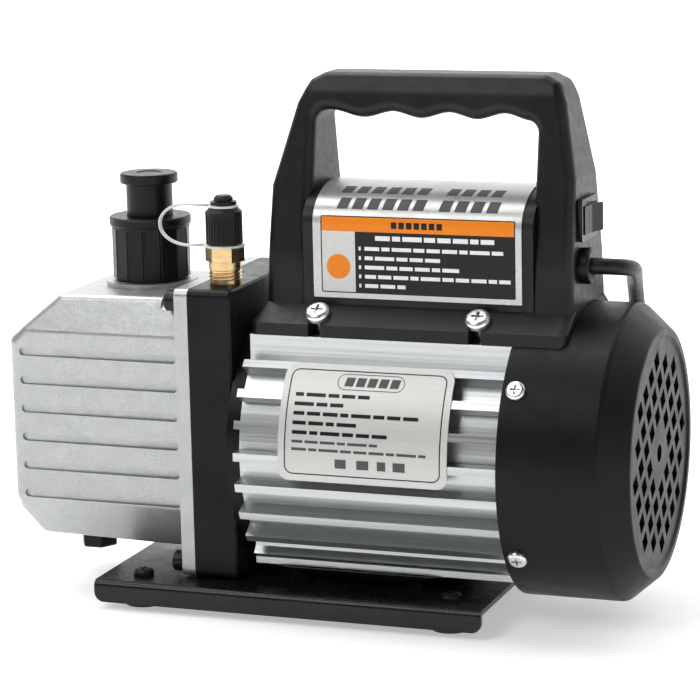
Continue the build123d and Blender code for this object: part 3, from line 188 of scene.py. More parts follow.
def gloss_powder_coat():
    s = Shader("gloss_powder_coat", (0.007, 0.007, 0.008), 0.25, Specular_IOR_Level=0.35)
    s.color_between(s.noise(0.03, 6), (0.004, 0.004, 0.005), (0.010, 0.010, 0.011))
    s.vary_roughness(s.noise(0.012, 8), 0.20, 0.36)
    s.bump((s.noise(0.0022, 2), 0.00005), (s.noise(0.02, 3), 0.0001))
    return s.material


def satin_black_paint():
    s = Shader("satin_black_paint", (0.005, 0.005, 0.006), 0.40, Specular_IOR_Level=0.17)
    s.color_between(s.noise(0.025, 8), (0.003, 0.003, 0.0035), (0.007, 0.007, 0.008))
    s.vary_roughness(s.noise(0.009, 6), 0.36, 0.48)
    s.bump((s.noise(0.0007, 3), 0.000015), (s.noise(0.015, 3), 0.00006))
    return s.material


def black_casting_paint():
    s = Shader("black_casting_paint", (0.006, 0.006, 0.007), 0.33, Specular_IOR_Level=0.15)
    s.color_between(s.noise(0.02, 8), (0.003, 0.003, 0.0035), (0.009, 0.009, 0.010))
    s.vary_roughness(s.noise(0.006, 6), 0.27, 0.42)
    s.bump((s.noise(0.0009, 4), 0.000025), (s.noise(0.006, 3), 0.00005))
    return s.material


def silver_casting_paint():
    s = Shader("silver_casting_paint", (0.43, 0.44, 0.445), 0.36, metallic=0.7)
    s.color_between(s.noise(0.0006, 4), (0.38, 0.39, 0.395), (0.48, 0.49, 0.495), 0.35, 0.65)
    s.vary_roughness(s.noise(0.004, 6), 0.32, 0.46)
    s.bump((s.noise(0.0008, 4), 0.00006), (s.noise(0.01, 3), 0.00015))
    return s.material


def extruded_aluminium():
    s = Shader("extruded_aluminium", (0.52, 0.53, 0.54), 0.34, metallic=1.0)
    lines = s.noise(0.0004, 3, stretch=(400, 1, 1))
    bands = s.noise(0.002, 3, stretch=(150, 1, 1))
    s.color_between(bands, (0.44, 0.455, 0.46), (0.58, 0.595, 0.60))
    s.vary_roughness(lines, 0.28, 0.44)
    s.bump((lines, 0.00003), (bands, 0.00004))
    return s.material


def textured_handle_plastic():
    s = Shader("textured_handle_plastic", (0.007, 0.0075, 0.008), 0.40, Specular_IOR_Level=0.27)
    s.color_between(s.noise(0.02, 6), (0.004, 0.0045, 0.005), (0.010, 0.0105, 0.011))
    s.vary_roughness(s.noise(0.003, 6), 0.34, 0.46)
    s.bump((s.noise(0.00045, 3), 0.00002), (s.noise(0.012, 2), 0.00008))
    return s.material


def moulded_black_plastic():
    s = Shader("moulded_black_plastic", (0.006, 0.006, 0.007), 0.34, Specular_IOR_Level=0.2)
    s.color_between(s.noise(0.01, 6), (0.004, 0.004, 0.0045), (0.009, 0.009, 0.010))
    s.vary_roughness(s.noise(0.0025, 6), 0.28, 0.44)
    s.bump((s.noise(0.0006, 3), 0.00003))
    return s.material


def switch_gloss_plastic():
    s = Shader("switch_gloss_plastic", (0.006, 0.006, 0.007), 0.25, Specular_IOR_Level=0.18)
    s.color_between(s.noise(0.006, 5), (0.004, 0.004, 0.005), (0.008, 0.008, 0.009))
    s.vary_roughness(s.noise(0.003, 6), 0.20, 0.32)
    s.bump((s.noise(0.002, 2), 0.00002))
    return s.material


def foot_rubber():
    s = Shader("foot_rubber", (0.02, 0.02, 0.021), 0.8)
    s.color_between(s.noise(0.006, 8), (0.012, 0.012, 0.013), (0.032, 0.031, 0.030))
    s.vary_roughness(s.noise(0.002, 5), 0.7, 0.9)
    s.bump((s.noise(0.0008, 5), 0.00008))
    return s.material


def zinc_plate():
    s = Shader("zinc_plate", (0.75, 0.77, 0.80), 0.25, metallic=1.0)
    s.color_between(s.noise(0.003, 5), (0.66, 0.69, 0.74), (0.84, 0.84, 0.83))
    s.vary_roughness(s.noise(0.0015, 6), 0.22, 0.36)
    s.bump((s.noise(0.0009, 4), 0.000006))
    return s.material


def black_oxide():
    s = Shader("black_oxide", (0.02, 0.02, 0.022), 0.38, metallic=0.8)
    s.color_between(s.noise(0.002, 5), (0.014, 0.014, 0.016), (0.035, 0.034, 0.036))
    s.vary_roughness(s.noise(0.0012, 5), 0.3, 0.5)
    s.bump((s.noise(0.0008, 4), 0.00003))
    return s.material


def machined_brass():
    s = Shader("machined_brass", (0.75, 0.50, 0.20), 0.28, metallic=1.0)
    rings = s.noise(0.0004, 3, stretch=(60, 60, 1))
    s.color_between(s.noise(0.004, 6), (0.56, 0.38, 0.18), (0.70, 0.50, 0.27))
    s.vary_roughness(rings, 0.24, 0.38)
    s.bump((rings, 0.000008))
    return s.material


def ground_steel():
    s = Shader("ground_steel", (0.60, 0.60, 0.61), 0.3, metallic=1.0)
    turning = s.noise(0.0004, 3, stretch=(1, 60, 60))
    s.color_between(s.noise(0.008, 5), (0.52, 0.52, 0.53), (0.68, 0.68, 0.68))
    s.vary_roughness(turning, 0.22, 0.4)
    s.bump((turning, 0.00002))
    return s.material


def grey_iron():
    s = Shader("grey_iron", (0.28, 0.28, 0.29), 0.5, metallic=0.9)
    s.color_between(s.noise(0.003, 8), (0.20, 0.20, 0.21), (0.36, 0.36, 0.36))
    s.vary_roughness(s.noise(0.002, 6), 0.4, 0.62)
    s.bump((s.noise(0.0008, 6), 0.0001))
    return s.material


def stacked_steel():
    s = Shader("stacked_steel", (0.35, 0.35, 0.37), 0.45, metallic=0.9)
    sheets = s.noise(0.0005, 2, stretch=(1, 100, 100))
    s.color_between(sheets, (0.25, 0.25, 0.27), (0.45, 0.45, 0.47))
    s.vary_roughness(s.noise(0.002, 6), 0.38, 0.55)
    s.bump((sheets, 0.0001))
    return s.material


def enamelled_copper():
    s = Shader("enamelled_copper", (0.55, 0.22, 0.08), 0.35, metallic=0.6)
    strands = s.noise(0.0012, 3, stretch=(1, 6, 6))
    s.color_between(strands, (0.40, 0.14, 0.05), (0.68, 0.30, 0.11))
    s.vary_roughness(strands, 0.25, 0.5)
    s.bump((strands, 0.0005))
    return s.material


def vane_fibre():
    s = Shader("vane_fibre", (0.20, 0.12, 0.06), 0.6)
    layers = s.noise(0.0005, 3, stretch=(20, 20, 1))
    s.color_between(layers, (0.15, 0.085, 0.04), (0.27, 0.17, 0.09))
    s.vary_roughness(s.noise(0.001, 5), 0.5, 0.7)
    s.bump((layers, 0.00004))
    return s.material


def filter_felt():
    s = Shader("filter_felt", (0.62, 0.60, 0.55), 0.95)
    s.color_between(s.noise(0.001, 8), (0.50, 0.48, 0.43), (0.74, 0.72, 0.67))
    s.vary_roughness(s.noise(0.0008, 5), 0.85, 1.0)
    s.bump((s.noise(0.0006, 6), 0.0004))
    return s.material


def tether_nylon():
    s = Shader("tether_nylon", (0.62, 0.63, 0.62), 0.32, Subsurface_Weight=0.35, Subsurface_Scale=0.002)
    s.color_between(s.noise(0.004, 5), (0.58, 0.59, 0.58), (0.68, 0.69, 0.68))
    s.vary_roughness(s.noise(0.002, 5), 0.26, 0.4)
    s.bump((s.noise(0.001, 3), 0.00003))
    return s.material


def clear_glass():
    s = Shader("clear_glass", (0.95, 0.97, 0.96), 0.04, Transmission_Weight=1.0, IOR=1.5)
    s.vary_roughness(s.noise(0.003, 5), 0.02, 0.07)
    s.bump((s.noise(0.004, 3), 0.00002))
    return s.material


def pump_oil():
    s = Shader("pump_oil", (0.75, 0.52, 0.16), 0.08, Transmission_Weight=0.3, IOR=1.47)
    s.color_between(s.noise(0.01, 4), (0.66, 0.42, 0.10), (0.82, 0.62, 0.24))
    s.vary_roughness(s.noise(0.006, 4), 0.05, 0.12)
    s.bump((s.noise(0.005, 2), 0.00002))
    return s.material


def plate_foil():
    s = Shader("plate_foil", (0.60, 0.59, 0.57), 0.45, metallic=0.35)
    grain = s.noise(0.0003, 3, stretch=(60, 1, 1))
    s.color_between(grain, (0.56, 0.555, 0.54), (0.64, 0.63, 0.61))
    s.vary_roughness(grain, 0.40, 0.50)
    s.bump((grain, 0.00001))
    return s.material


def panel_film():
    s = Shader("panel_film", (0.50, 0.50, 0.49), 0.28, metallic=0.45)
    s.color_between(s.noise(0.0005, 4), (0.46, 0.46, 0.45), (0.54, 0.54, 0.53))
    s.vary_roughness(s.noise(0.01, 4), 0.26, 0.36)
    s.bump((s.noise(0.004, 3), 0.000006))
    return s.material


def ink(name, color, roughness=0.4):
    """A printed ink with faint unevenness."""
    def make():
        s = Shader(name, color, roughness, Specular_IOR_Level=0.2)
        dark = tuple(0.94 * c for c in color)
        light = tuple(min(1.0, 1.04 * c + 0.001) for c in color)
        s.color_between(s.noise(0.0009, 5), dark, light)
        s.vary_roughness(s.noise(0.002, 5), roughness - 0.06, roughness + 0.08)
        s.bump((s.noise(0.0006, 3), 0.00001))
        return s.material
    return make


def capacitor_can():
    s = Shader("capacitor_can", (0.72, 0.72, 0.70), 0.35)
    s.color_between(s.noise(0.006, 5), (0.66, 0.66, 0.64), (0.78, 0.78, 0.76))
    s.vary_roughness(s.noise(0.004, 5), 0.28, 0.42)
    s.bump((s.noise(0.001, 3), 0.00002))
    return s.material


def cord_vinyl():
    s = Shader("cord_vinyl", (0.008, 0.008, 0.009), 0.42, Specular_IOR_Level=0.3)
    s.color_between(s.noise(0.008, 6), (0.005, 0.005, 0.006), (0.012, 0.012, 0.013))
    s.vary_roughness(s.noise(0.002, 5), 0.34, 0.5)
    s.bump((s.noise(0.0009, 4), 0.00005), (s.noise(0.01, 3), 0.0001))
    return s.material


def nickel_plate():
    s = Shader("nickel_plate", (0.78, 0.74, 0.66), 0.2, metallic=1.0)
    s.color_between(s.noise(0.003, 5), (0.72, 0.68, 0.60), (0.84, 0.81, 0.74))
    s.vary_roughness(s.noise(0.001, 6), 0.12, 0.3)
    s.bump((s.noise(0.0006, 3), 0.00001))
    return s.material


LOOKS = {
    gloss_powder_coat: ["base_plate", "motor_tray"],
    satin_black_paint: ["fan_cover"],
    black_casting_paint: ["mounting_block", "front_end_bell", "rear_end_bell"],
    silver_casting_paint: ["oil_tank"],
    extruded_aluminium: ["motor_housing"],
    textured_handle_plastic: ["handle_shell"],
    moulded_black_plastic: ["sight_bezel", "drain_plug", "exhaust_body", "exhaust_cap", "inlet_cap",
                            "cap_washer", "cable_gland", "plug_body", "cord_tie", "cooling_fan"],
    switch_gloss_plastic: ["switch_housing", "switch_rocker"],
    foot_rubber: ["rubber_feet", "tank_gasket", "exhaust_seal", "shaft_seal"],
    zinc_plate: ["foot_nuts", "tray_screws", "block_screws", "stator_bolts", "vane_springs", "tie_rods",
                 "cover_screws", "handle_screws", "discharge_reed", "reed_stop", "reed_screw"],
    black_oxide: ["foot_screws", "tank_screws"],
    machined_brass: ["inlet_fitting"],
    ground_steel: ["motor_shaft", "shaft_coupling", "front_bearing", "rear_bearing"],
    grey_iron: ["pump_stator", "pump_end_plate", "pump_rotor"],
    stacked_steel: ["stator_core", "rotor_core"],
    enamelled_copper: ["stator_windings"],
    vane_fibre: ["pump_vanes"],
    filter_felt: ["exhaust_filter"],
    clear_glass: ["sight_glass"],
    plate_foil: ["name_plate"],
    panel_film: ["label_panel"],
    capacitor_can: ["capacitor"],
    cord_vinyl: ["cord_run", "cord_coil", "cord_tail"],
    nickel_plate: ["plug_pins"],
    tether_nylon: ["cap_tether"],
}
made = {}


def material(make):
    """The material that this function makes, made once."""
    if make not in made:
        made[make] = make()
    return made[make]


for make, names in LOOKS.items():
    for name in names:
        nodes[name].data.materials.clear()
        nodes[name].data.materials.append(material(make))


# ---- camera, at the photograph's angle ----
TARGET = Vector((0.0043, 0.0, 0.1014))
AZIMUTH, ELEVATION, ROLL = (math.radians(a) for a in (20.26, 11.32, -1.24))
DISTANCE = 1.1606
back = Vector((math.sin(AZIMUTH) * math.cos(ELEVATION), -math.cos(AZIMUTH) * math.cos(ELEVATION),
               math.sin(ELEVATION)))
right = Vector((0, 0, 1)).cross(back).normalized()
up = back.cross(right)
rolled_right = right * math.cos(ROLL) + up * math.sin(ROLL)
rolled_up = up * math.cos(ROLL) - right * math.sin(ROLL)
camera_data = bpy.data.cameras.new("camera")
camera_data.lens = 145.85
camera_data.sensor_width = 36.0
camera_data.clip_start = 0.05
camera = add_object("camera", camera_data)
camera.matrix_world = Matrix.Translation(TARGET + back * DISTANCE) @ Matrix(
    (rolled_right, rolled_up, back)).transposed().to_4x4()
bpy.context.scene.camera = camera


# ---- the mains cord: one spline from the gland to the plug, with its coil ----
CORD_R = 3.3
EXIT = (107.2, -10.0, 142.0)
ROUTE = [EXIT, (118.0, -10.0, 142.0), (123.0, -0.6, 140.2), (120.5, 14.0, 136.6), (116.0, 31.0, 130.5),
         (112.5, 48.5, 117.5), (110.0, 64.0, 99.0), (108.0, 72.5, 76.0), (104.0, 77.0, 52.0),
         (95.0, 80.0, 28.0), (79.0, 81.5, 10.5), (59.0, 80.5, 3.7), (44.0, 78.8, 3.3)]
COIL_CENTER = (30.0, 121.3)
COIL_R, COIL_PITCH = 43.1, 6.6
COIL_PLACES = [(0, 0), (1, 0), (2, 0), (2, 1), (1, 1), (0, 1)]
COIL_TURNS, COIL_STEPS, COIL_SHIFT = 5, 24, 0.125
TAIL = [(17.0, 78.6, 11.8), (4.0, 79.4, 16.6), (-9.0, 79.8, 18.5)]


def coil_point(turned_by):
    """A point of the coil, turned_by turns after its start. Each turn shifts one place just before it ends,
    and the later turns shift earlier, so that none is crossed."""
    inward, level = 0.0, 0.0
    for k in range(COIL_TURNS):
        last = (k + 1) - k * COIL_SHIFT
        t = min(1.0, max(0.0, (turned_by - (last - COIL_SHIFT)) / COIL_SHIFT))
        t = t * t * (3 - 2 * t)
        (column, layer), (next_column, next_layer) = COIL_PLACES[k], COIL_PLACES[k + 1]
        inward += t * (next_column - column)
        level += t * (next_layer - layer)
    angle = 2 * math.pi * turned_by
    radius = COIL_R - inward * COIL_PITCH
    return (COIL_CENTER[0] - radius * math.sin(angle), COIL_CENTER[1] - radius * math.cos(angle),
            CORD_R + level * COIL_PITCH)


def mains_cord():
    """The whole cord as one curve, in place of the three plain CAD solids."""
    points = list(ROUTE)
    points += [coil_point(k / COIL_STEPS) for k in range(COIL_TURNS * COIL_STEPS + 1)]
    points += TAIL
    curve = bpy.data.curves.new("mains_cord", "CURVE")
    curve.dimensions = "3D"
    curve.bevel_depth = CORD_R * MM
    curve.bevel_resolution = 6
    curve.resolution_u = 8
    curve.use_fill_caps = True
    spline = curve.splines.new("NURBS")
    spline.points.add(len(points) - 1)
    for point, spot in zip(spline.points, points):
        point.co = (*[c * MM for c in spot], 1)
    spline.order_u = 3
    spline.use_endpoint_u = True
    curve.materials.append(material(cord_vinyl))
    cord = add_object("mains_cord", curve)
    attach(cord, "pump")
    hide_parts("cord_run", "cord_coil", "cord_tail")


mains_cord()


# ---- the tether: two flat rings and the bowed strap between them ----
INLET = place("inlet_fitting")[2]
# each flat ring's hole radius, outer radius, lower face and upper face
TETHER_LOW, TETHER_HIGH = (5.55, 8.4, 146.6, 147.5), (2.65, 6.2, 162.6, 163.5)
LOOP_CENTER, LOOP_RX, LOOP_RZ, LOOP_STEPS = (-56.0, 154.9), 12.2, 8.4, 40
STRAP_HALF_W, STRAP_HALF_T, STRAP_OVERLAP, STRAP_SIDES = 1.25, 0.6, 1.2, 12


def flat_ring(hole_r, outer_r, low, high):
    """The rings of a flat washer shape with rounded edges, about the inlet."""
    edge = (high - low) / 4
    section = [(hole_r, low + edge), (hole_r + edge, low), (outer_r - edge, low), (outer_r, low + edge),
               (outer_r, high - edge), (outer_r - edge, high), (hole_r + edge, high), (hole_r, high - edge)]
    rings = turned([(r * MM, z * MM) for r, z in section], (INLET[0] * MM, INLET[1] * MM, 0))
    return loft_rings(rings + rings[:1], closed=False)


def strap_path():
    """The strap's middle line, from the low ring round the loop to the high ring."""
    low_z, high_z = sum(TETHER_LOW[2:]) / 2, sum(TETHER_HIGH[2:]) / 2
    start = (INLET[0] - TETHER_LOW[1] + STRAP_OVERLAP, low_z)
    end = (INLET[0] - TETHER_HIGH[1] + STRAP_OVERLAP, high_z)
    path = [start]
    for k in range(LOOP_STEPS + 1):
        t = math.pi * (1.5 - k / LOOP_STEPS)
        path.append((LOOP_CENTER[0] + LOOP_RX * math.cos(t), LOOP_CENTER[1] + LOOP_RZ * math.sin(t)))
    return path + [end]


def tether():
    """The strap and its two rings as one piece."""
    rings = []
    path = strap_path()
    for k, (x, z) in enumerate(path):
        before, after = path[max(k - 1, 0)], path[min(k + 1, len(path) - 1)]
        way = Vector((after[0] - before[0], 0, after[1] - before[1])).normalized()
        out = Vector((0, 1, 0)).cross(way)
        ring = []
        for i in range(STRAP_SIDES):
            a = 2 * math.pi * i / STRAP_SIDES
            ring.append((Vector((x, INLET[1], z)) + Vector((0, 1, 0)) * STRAP_HALF_W * math.cos(a)
                         + out * STRAP_HALF_T * math.sin(a)) * MM)
        rings.append(ring)
    shape = merged((loft_rings(rings), flat_ring(*TETHER_LOW), flat_ring(*TETHER_HIGH)))
    piece = mesh_piece("tether_loop", *shape, None, "tether_plastic", material(tether_nylon))
    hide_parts("cap_tether")
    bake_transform(piece)


tether()


# ---- the inlet's thread: a helical ridge under the hexagon ----
def inlet_thread():
    """The ridge, which fades in and out over half a turn at each end."""
    pitch, turns, steps = 1.41, 3.6, 48
    root_r, crest_r, low_z = 6.0, 6.75, 132.2
    root_half, crest_half = 0.55, 0.08
    rings = []
    for k in range(int(turns * steps) + 1):
        t = k / steps
        a = 2 * math.pi * t
        z = low_z + pitch * t
        rise = (crest_r - root_r) * min(1.0, 2 * t, 2 * (turns - t))
        section = [(root_r, -root_half), (root_r + rise, -crest_half),
                   (root_r + rise, crest_half), (root_r, root_half)]
        rings.append([Vector(((INLET[0] + r * math.cos(a)) * MM, (INLET[1] + r * math.sin(a)) * MM,
                              (z + dz) * MM)) for r, dz in section])
    mesh_piece("inlet_thread", *loft_rings(rings), "pump", "inlet_brass", material(machined_brass),
               smooth=False)


inlet_thread()


# ---- printed areas: thin raised blocks that follow the surface under them ----
PANEL_LOW, PANEL_HIGH = place("label_panel")[:2]
PANEL_LOW_Z, PANEL_TOP_Z, PANEL_HALF = PANEL_LOW.z, PANEL_HIGH.z, PANEL_HIGH.y
PANEL_DOME = 14.7
PANEL_FLAT_Z = PANEL_TOP_Z - PANEL_DOME
PLATE_LOW, PLATE_HIGH = place("name_plate")[:2]
PLATE_X, PLATE_TOP_Z, PLATE_R = PLATE_LOW.x, PLATE_HIGH.z, -PLATE_LOW.y
AXIS_Z = place("fan_cover")[2].z
# printed blocks reach from just under a surface to one of two heights above it
SUNK, THIN_FILM, UPPER_FILM = -0.03, 0.04, 0.08


def panel_arc(steps=180):
    """Lengths along the panel's rounded top, with the angle that each one reaches."""
    height = PANEL_TOP_Z - PANEL_FLAT_Z
    table, length, last = [(0.0, 0.0)], 0.0, (-PANEL_HALF, 0.0)
    for k in range(1, steps + 1):
        t = math.pi * k / steps
        spot = (-PANEL_HALF * math.cos(t), height * math.sin(t))
        length += math.dist(last, spot)
        table.append((length, t))
        last = spot
    return table


PANEL_ARC = panel_arc()


def on_panel(x, v, lift):
    """The point x along and v up the label panel from its lower edge, lift above its surface."""
    flat = PANEL_FLAT_Z - PANEL_LOW_Z
    if v <= flat:
        return Vector((x, -PANEL_HALF - lift, PANEL_LOW_Z + v)) * MM
    for (before, first), (after, second) in zip(PANEL_ARC, PANEL_ARC[1:]):
        if v - flat <= after:
            t = first + (second - first) * (v - flat - before) / (after - before)
            break
    return Vector((x, -(PANEL_HALF + lift) * math.cos(t),
                   PANEL_FLAT_Z + (PANEL_TOP_Z - PANEL_FLAT_Z + lift) * math.sin(t))) * MM


def on_plate(u, v, lift):
    """The point u along and v down the nameplate from its upper left corner, lift above its surface."""
    angle = math.asin((PLATE_TOP_Z - AXIS_Z) / PLATE_R) - v / PLATE_R
    radius = PLATE_R + lift
    return Vector((PLATE_X + u, -radius * math.cos(angle), AXIS_Z + radius * math.sin(angle))) * MM


def slab(surface, outline, lift, grain=0.8):
    """A closed block over a convex four-sided outline, given as (u, v) corners, that follows a surface."""
    (u0, v0), (u1, v1), (u2, v2), (u3, v3) = outline
    rows = max(2, round(abs(v2 - v1) / grain))
    rings = []
    for k in range(rows + 1):
        t = k / rows
        one_side = (u0 + (u3 - u0) * t, v0 + (v3 - v0) * t)
        other_side = (u1 + (u2 - u1) * t, v1 + (v2 - v1) * t)
        rings.append([surface(*one_side, SUNK), surface(*other_side, SUNK),
                      surface(*other_side, lift), surface(*one_side, lift)])
    return loft_rings(rings)


def printed(name, surface, outlines, lift, slot, make):
    """One piece of printed blocks in one ink."""
    shape = merged(slab(surface, outline, lift) for outline in outlines)
    mesh_piece(name, *shape, "pump", slot, material(make), smooth=False)


def block(u0, u1, v0, v1, slant=0.0):
    """The corners of an upright or slanted block."""
    return [(u0, v0), (u1, v0), (u1 + slant, v1), (u0 + slant, v1)]


def words(u0, u1, v, height, first=0, sizes=(6.2, 3.4, 8.1, 4.6, 5.5), gap=0.9):
    """A row of plain dashes in place of a line of print, starting with the first of these sizes."""
    row, u, k = [], u0, first
    while u < u1 - 0.8:
        end = min(u + sizes[k % len(sizes)], u1)
        row.append(block(u, end, v - height / 2, v + height / 2))
        u, k = end + gap, k + 1
    return row


def rounded_line(u0, u1, v0, v1, corner, width, steps=6):
    """The blocks of a thin rectangular line with rounded corners."""
    path = []
    for cu, cv, start in ((u1 - corner, v1 - corner, 0), (u0 + corner, v1 - corner, 90),
                          (u0 + corner, v0 + corner, 180), (u1 - corner, v0 + corner, 270)):
        for k in range(steps + 1):
            a = math.radians(start + 90 * k / steps)
            path.append((cu + corner * math.cos(a), cv + corner * math.sin(a)))
    line = []
    for (ua, va), (ub, vb) in zip(path, path[1:] + path[:1]):
        length = math.hypot(ub - ua, vb - va)
        if length < 1e-6:
            continue
        nu, nv = -(vb - va) / length * width / 2, (ub - ua) / length * width / 2
        line.append([(ua - nu, va - nv), (ua + nu, va + nv), (ub + nu, vb + nv), (ub - nu, vb - nv)])
    return line


def disc(cu, cv, radius, steps=16):
    """A round spot, as strips across it."""
    strips = []
    for k in range(steps):
        va, vb = (cv - radius * math.cos(math.pi * (k + i) / steps) for i in (0, 1))
        wa, wb = (max(0.05, radius * math.sin(math.pi * (k + i) / steps)) for i in (0, 1))
        strips.append([(cu - wa, va), (cu + wa, va), (cu + wb, vb), (cu - wb, vb)])
    return strips


DARK_INK = ink("dark_ink", (0.012, 0.012, 0.012), 0.35)
GREY_INK = ink("grey_ink", (0.085, 0.085, 0.085), 0.40)
PALE_INK = ink("pale_ink", (0.62, 0.62, 0.60), 0.40)
WHITE_INK = ink("white_ink", (0.80, 0.80, 0.78), 0.40)
ORANGE_INK = ink("orange_ink", (0.80, 0.22, 0.012), 0.32)


def panel_print():
    """The label panel: two rows of slanted blocks over a coloured band, a pale field and a dark field."""
    def put(name, outlines, lift, make):
        printed(name, on_panel, outlines, lift, "panel_film", make)

    title = []
    letter_pitch, letter_share, letter_slant = 6.5, 0.72, 0.8
    for start, end, low, high in ((8.5, 46.5, 36.0, 41.8), (51.0, 77.0, 36.0, 41.8),
                                  (8.0, 46.0, 45.0, 50.6), (52.0, 76.5, 45.0, 50.6)):
        count = round((end - start) / letter_pitch)
        pitch = (end - start) / count
        for k in range(count):
            u = start + k * pitch
            title.append(block(u, u + pitch * letter_share, low, high, letter_slant))
    put("panel_title_blocks", title, THIN_FILM, GREY_INK)

    left_u, field_u, right_u = 2.8, 16.8, 82.6
    low_v, band_v, high_v = 2.5, 26.8, 32.6
    frame_corner, frame_width, frame_lift = 0.4, 0.45, 0.05
    frame_line = rounded_line(2.6, 82.8, 2.3, 32.8, frame_corner, frame_width)
    put("panel_frame", frame_line, frame_lift, DARK_INK)
    put("panel_band", [block(left_u, right_u, band_v, high_v)], THIN_FILM, ORANGE_INK)
    put("panel_pale_field", [block(left_u, field_u, low_v, band_v)], THIN_FILM, PALE_INK)
    put("panel_dark_field", [block(field_u, right_u, low_v, band_v)], THIN_FILM, DARK_INK)
    put("panel_spot", disc(9.7, 12.6, 5.0), UPPER_FILM, ORANGE_INK)
    mark_pitch, mark_count = 3.15, 7
    band_marks = [block(32.0 + k * mark_pitch, 34.3 + k * mark_pitch, 28.4, 31.0) for k in range(mark_count)]
    put("panel_band_marks", band_marks, UPPER_FILM, DARK_INK)

    row_height = 1.5
    lines = words(25.3, 74.5, 24.4, 1.9)
    for k, (end, v) in enumerate(((79.5, 20.1), (53.0, 16.3), (60.0, 12.6), (81.0, 8.9), (38.5, 5.2))):
        lines.append(block(18.3, 19.2, v - row_height / 2, v + row_height / 2))
        lines += words(20.8, end, v, row_height, first=k)
    put("panel_rows", lines, UPPER_FILM, WHITE_INK)


def plate_print():
    """The nameplate: a border line, a rounded badge, rows of dashes and small marks."""
    def put(name, outlines, make):
        printed(name, on_plate, outlines, THIN_FILM, "plate_foil", make)

    corner, border_width, badge_width = 3.2, 0.48, 0.32
    put("plate_border", rounded_line(2.9, 67.1, 2.9, 45.3, corner, border_width), DARK_INK)
    put("plate_badge_line", rounded_line(22.5, 50.0, 4.2, 10.8, corner, badge_width), GREY_INK)
    bar_pitch, bar_count = 4.7, 5
    bars = [block(25.3 + k * bar_pitch, 28.9 + k * bar_pitch, 9.4, 5.6, 0.8) for k in range(bar_count)]
    put("plate_badge_bar", bars, GREY_INK)

    row_u, row_height, small_height = 5.8, 1.5, 1.1
    rows = []
    for k, (end, v) in enumerate(((36.7, 13.6), (27.5, 17.4), (59.5, 21.2), (32.5, 25.0), (45.3, 28.8))):
        rows += words(row_u, end, v, row_height, first=k + 1, gap=1.1)
    put("plate_rows", rows, DARK_INK)
    small = words(row_u, 41.5, 32.4, small_height, first=3) + words(row_u, 61.5, 35.4, small_height)
    for u0, u1 in ((24.0, 28.6), (33.0, 38.0), (41.5, 45.0), (48.0, 53.0)):
        small.append(block(u0, u1, 38.6, 42.2))
    put("plate_small_marks", small, GREY_INK)


panel_print()
plate_print()


# ---- oil behind the sight glass ----
OIL_R, OIL_ABOVE_MIDDLE, OIL_STEPS = 8.8, 1.5, 24
# how far behind the glass the oil starts and ends, and behind the oil the pale back starts and ends
OIL_FRONT, OIL_BACK, PALE_FRONT, PALE_BACK, PALE_MARGIN = 0.3, 3.1, 0.1, 0.5, 0.1


def sight_oil():
    """The oil that shows through the sight glass, as a part-filled round window with a pale back."""
    glass_high, glass = place("sight_glass")[1:]
    front, back = glass_high.x + OIL_FRONT, glass_high.x + OIL_BACK
    level = glass.z + OIL_ABOVE_MIDDLE
    half = math.acos((level - glass.z) / OIL_R)
    low_half = math.pi - half
    section = [(OIL_R * math.sin(a), -OIL_R * math.cos(a))
               for a in (low_half * (2 * k / OIL_STEPS - 1) for k in range(OIL_STEPS + 1))]
    rings = [[Vector((x, y, glass.z + z)) * MM for y, z in section] for x in (back, front)]
    mesh_piece("sight_oil", *loft_rings(rings), "pump", "clear_glass", material(pump_oil), smooth=False)
    profile = [((OIL_R + PALE_MARGIN) * MM, x * MM) for x in (back + PALE_BACK, back + PALE_FRONT)]
    disc_rings = turned(profile, (0, 0, glass.z * MM), "X")
    mesh_piece("sight_back", *loft_rings(disc_rings), "pump", "tether_plastic",
               material(capacitor_can), smooth=False)


sight_oil()


# ---- moulded ribs on the plug's neck and grip ----
RIB_COUNT, RIB_FIRST, RIB_PITCH = 6, 3.0, 3.4
NECK_R, NECK_FLARE, NECK_LENGTH = 4.2, 2.3, 22.0
RIB_SUNK, RIB_PROUD, RIB_ROOT_HALF, RIB_CREST_HALF, RIB_STEPS = 0.6, 0.5, 0.8, 0.45, 40


def plug_ribs():
    """Rings round the plug's neck, which widens towards the pins."""
    plug_high, plug = place("plug_body")[1:]
    ribs = []
    for k in range(RIB_COUNT):
        x = plug_high.x - RIB_FIRST - RIB_PITCH * k
        radius = NECK_R + NECK_FLARE * (RIB_FIRST + RIB_PITCH * k) / NECK_LENGTH
        profile = [(radius - RIB_SUNK, x + RIB_ROOT_HALF), (radius + RIB_PROUD, x + RIB_CREST_HALF),
                   (radius + RIB_PROUD, x - RIB_CREST_HALF), (radius - RIB_SUNK, x - RIB_ROOT_HALF)]
        rings = turned([(r * MM, along * MM) for r, along in profile],
                       (0, plug.y * MM, plug.z * MM), "X", RIB_STEPS)
        ribs.append(loft_rings(rings))
    mesh_piece("plug_neck_ribs", *merged(ribs), "pump", "plug_plastic", material(moulded_black_plastic))


plug_ribs()


# ---- floor and light ----
FLOOR_HALF, FLOOR_WHITE = 40, (0.90, 0.90, 0.90)
# a gradient falls from 1 at the origin to 0 at 1 / GLOW_SCALE metres. The floor glows at GLOW_NEAR where it
# is over NEAR_FACTOR, and the glow rises from there to GLOW_FAR where it is 0
GLOW_NEAR, GLOW_FAR, GLOW_SCALE, NEAR_FACTOR = 0.42, 1.0, 1.1, 0.75
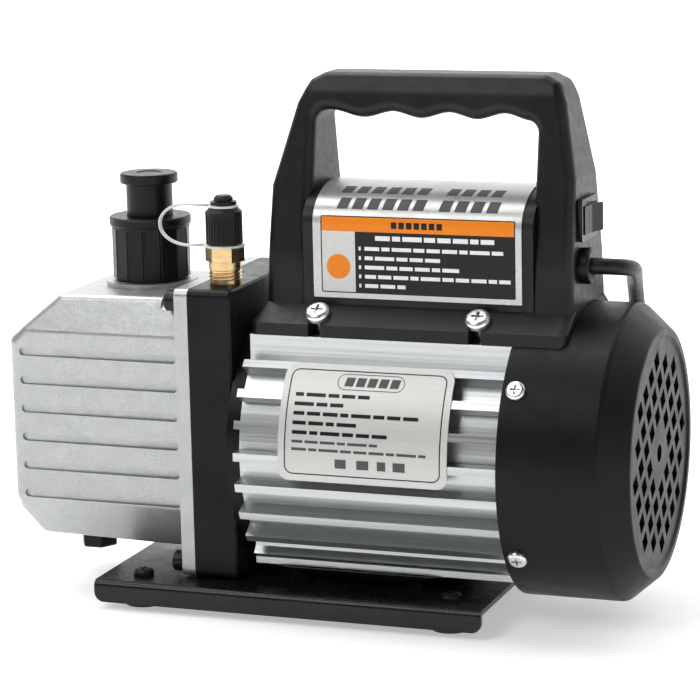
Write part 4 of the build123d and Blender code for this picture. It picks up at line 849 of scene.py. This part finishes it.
# name, place, size and power of each lamp, and the point that they all face
LAMPS = [("key", (-0.55, -1.0, 1.15), 0.7, 7.0), ("fill", (1.1, -0.9, 0.6), 0.8, 1.8),
         ("top", (-0.40, 0.20, 1.22), 0.9, 10.5)]
LAMP_TARGET = (0, 0, 0.1)


def white_floor():
    """A white floor that glows more, further from the object."""
    mesh = bpy.data.meshes.new("floor")
    corners = [(x * FLOOR_HALF, y * FLOOR_HALF, 0) for x, y in ((-1, -1), (1, -1), (1, 1), (-1, 1))]
    mesh.from_pydata(corners, [], [(0, 1, 2, 3)])
    floor = add_object("floor", mesh)
    shader = Shader("floor_white", FLOOR_WHITE, 0.6)
    mapping = shader.node("ShaderNodeMapping")
    mapping.inputs["Scale"].default_value = (GLOW_SCALE, GLOW_SCALE, GLOW_SCALE)
    shader.link(shader.coords, mapping.inputs["Vector"])
    gradient = shader.node("ShaderNodeTexGradient", gradient_type="SPHERICAL")
    shader.link(mapping.outputs["Vector"], gradient.inputs["Vector"])
    shader.bsdf.inputs["Emission Color"].default_value = (1, 1, 1, 1)
    glow = shader.spread(gradient.outputs["Fac"], GLOW_FAR, GLOW_NEAR, 0.0, NEAR_FACTOR)
    shader.link(glow, shader.bsdf.inputs["Emission Strength"])
    mesh.materials.append(shader.material)


def white_world():
    """A white surround, dim on the camera's side and bright behind the object."""
    surround = bpy.data.worlds.new("studio")
    surround.use_nodes = True
    tree = surround.node_tree
    background = tree.nodes["Background"]
    background.inputs["Color"].default_value = (1, 1, 1, 1)
    parts = tree.nodes.new("ShaderNodeSeparateXYZ")
    tree.links.new(tree.nodes.new("ShaderNodeTexCoord").outputs["Generated"], parts.inputs["Vector"])
    ramp = tree.nodes.new("ShaderNodeMapRange")
    for socket, value in (("From Min", -0.3), ("From Max", 0.8), ("To Min", 0.06), ("To Max", 1.7)):
        ramp.inputs[socket].default_value = value
    tree.links.new(parts.outputs["Y"], ramp.inputs["Value"])
    tree.links.new(ramp.outputs["Result"], background.inputs["Strength"])
    bpy.context.scene.world = surround


def soft_lamps():
    """Three soft square lamps."""
    for name, spot, size, power in LAMPS:
        light = bpy.data.lights.new(name, "AREA")
        light.size = size
        light.energy = power
        lamp = add_object(name, light)
        lamp.location = spot
        lamp.rotation_euler = (Vector(LAMP_TARGET) - Vector(spot)).to_track_quat("-Z", "Y").to_euler()


bpy.context.scene.view_settings.view_transform = "Standard"
white_floor()
white_world()
soft_lamps()
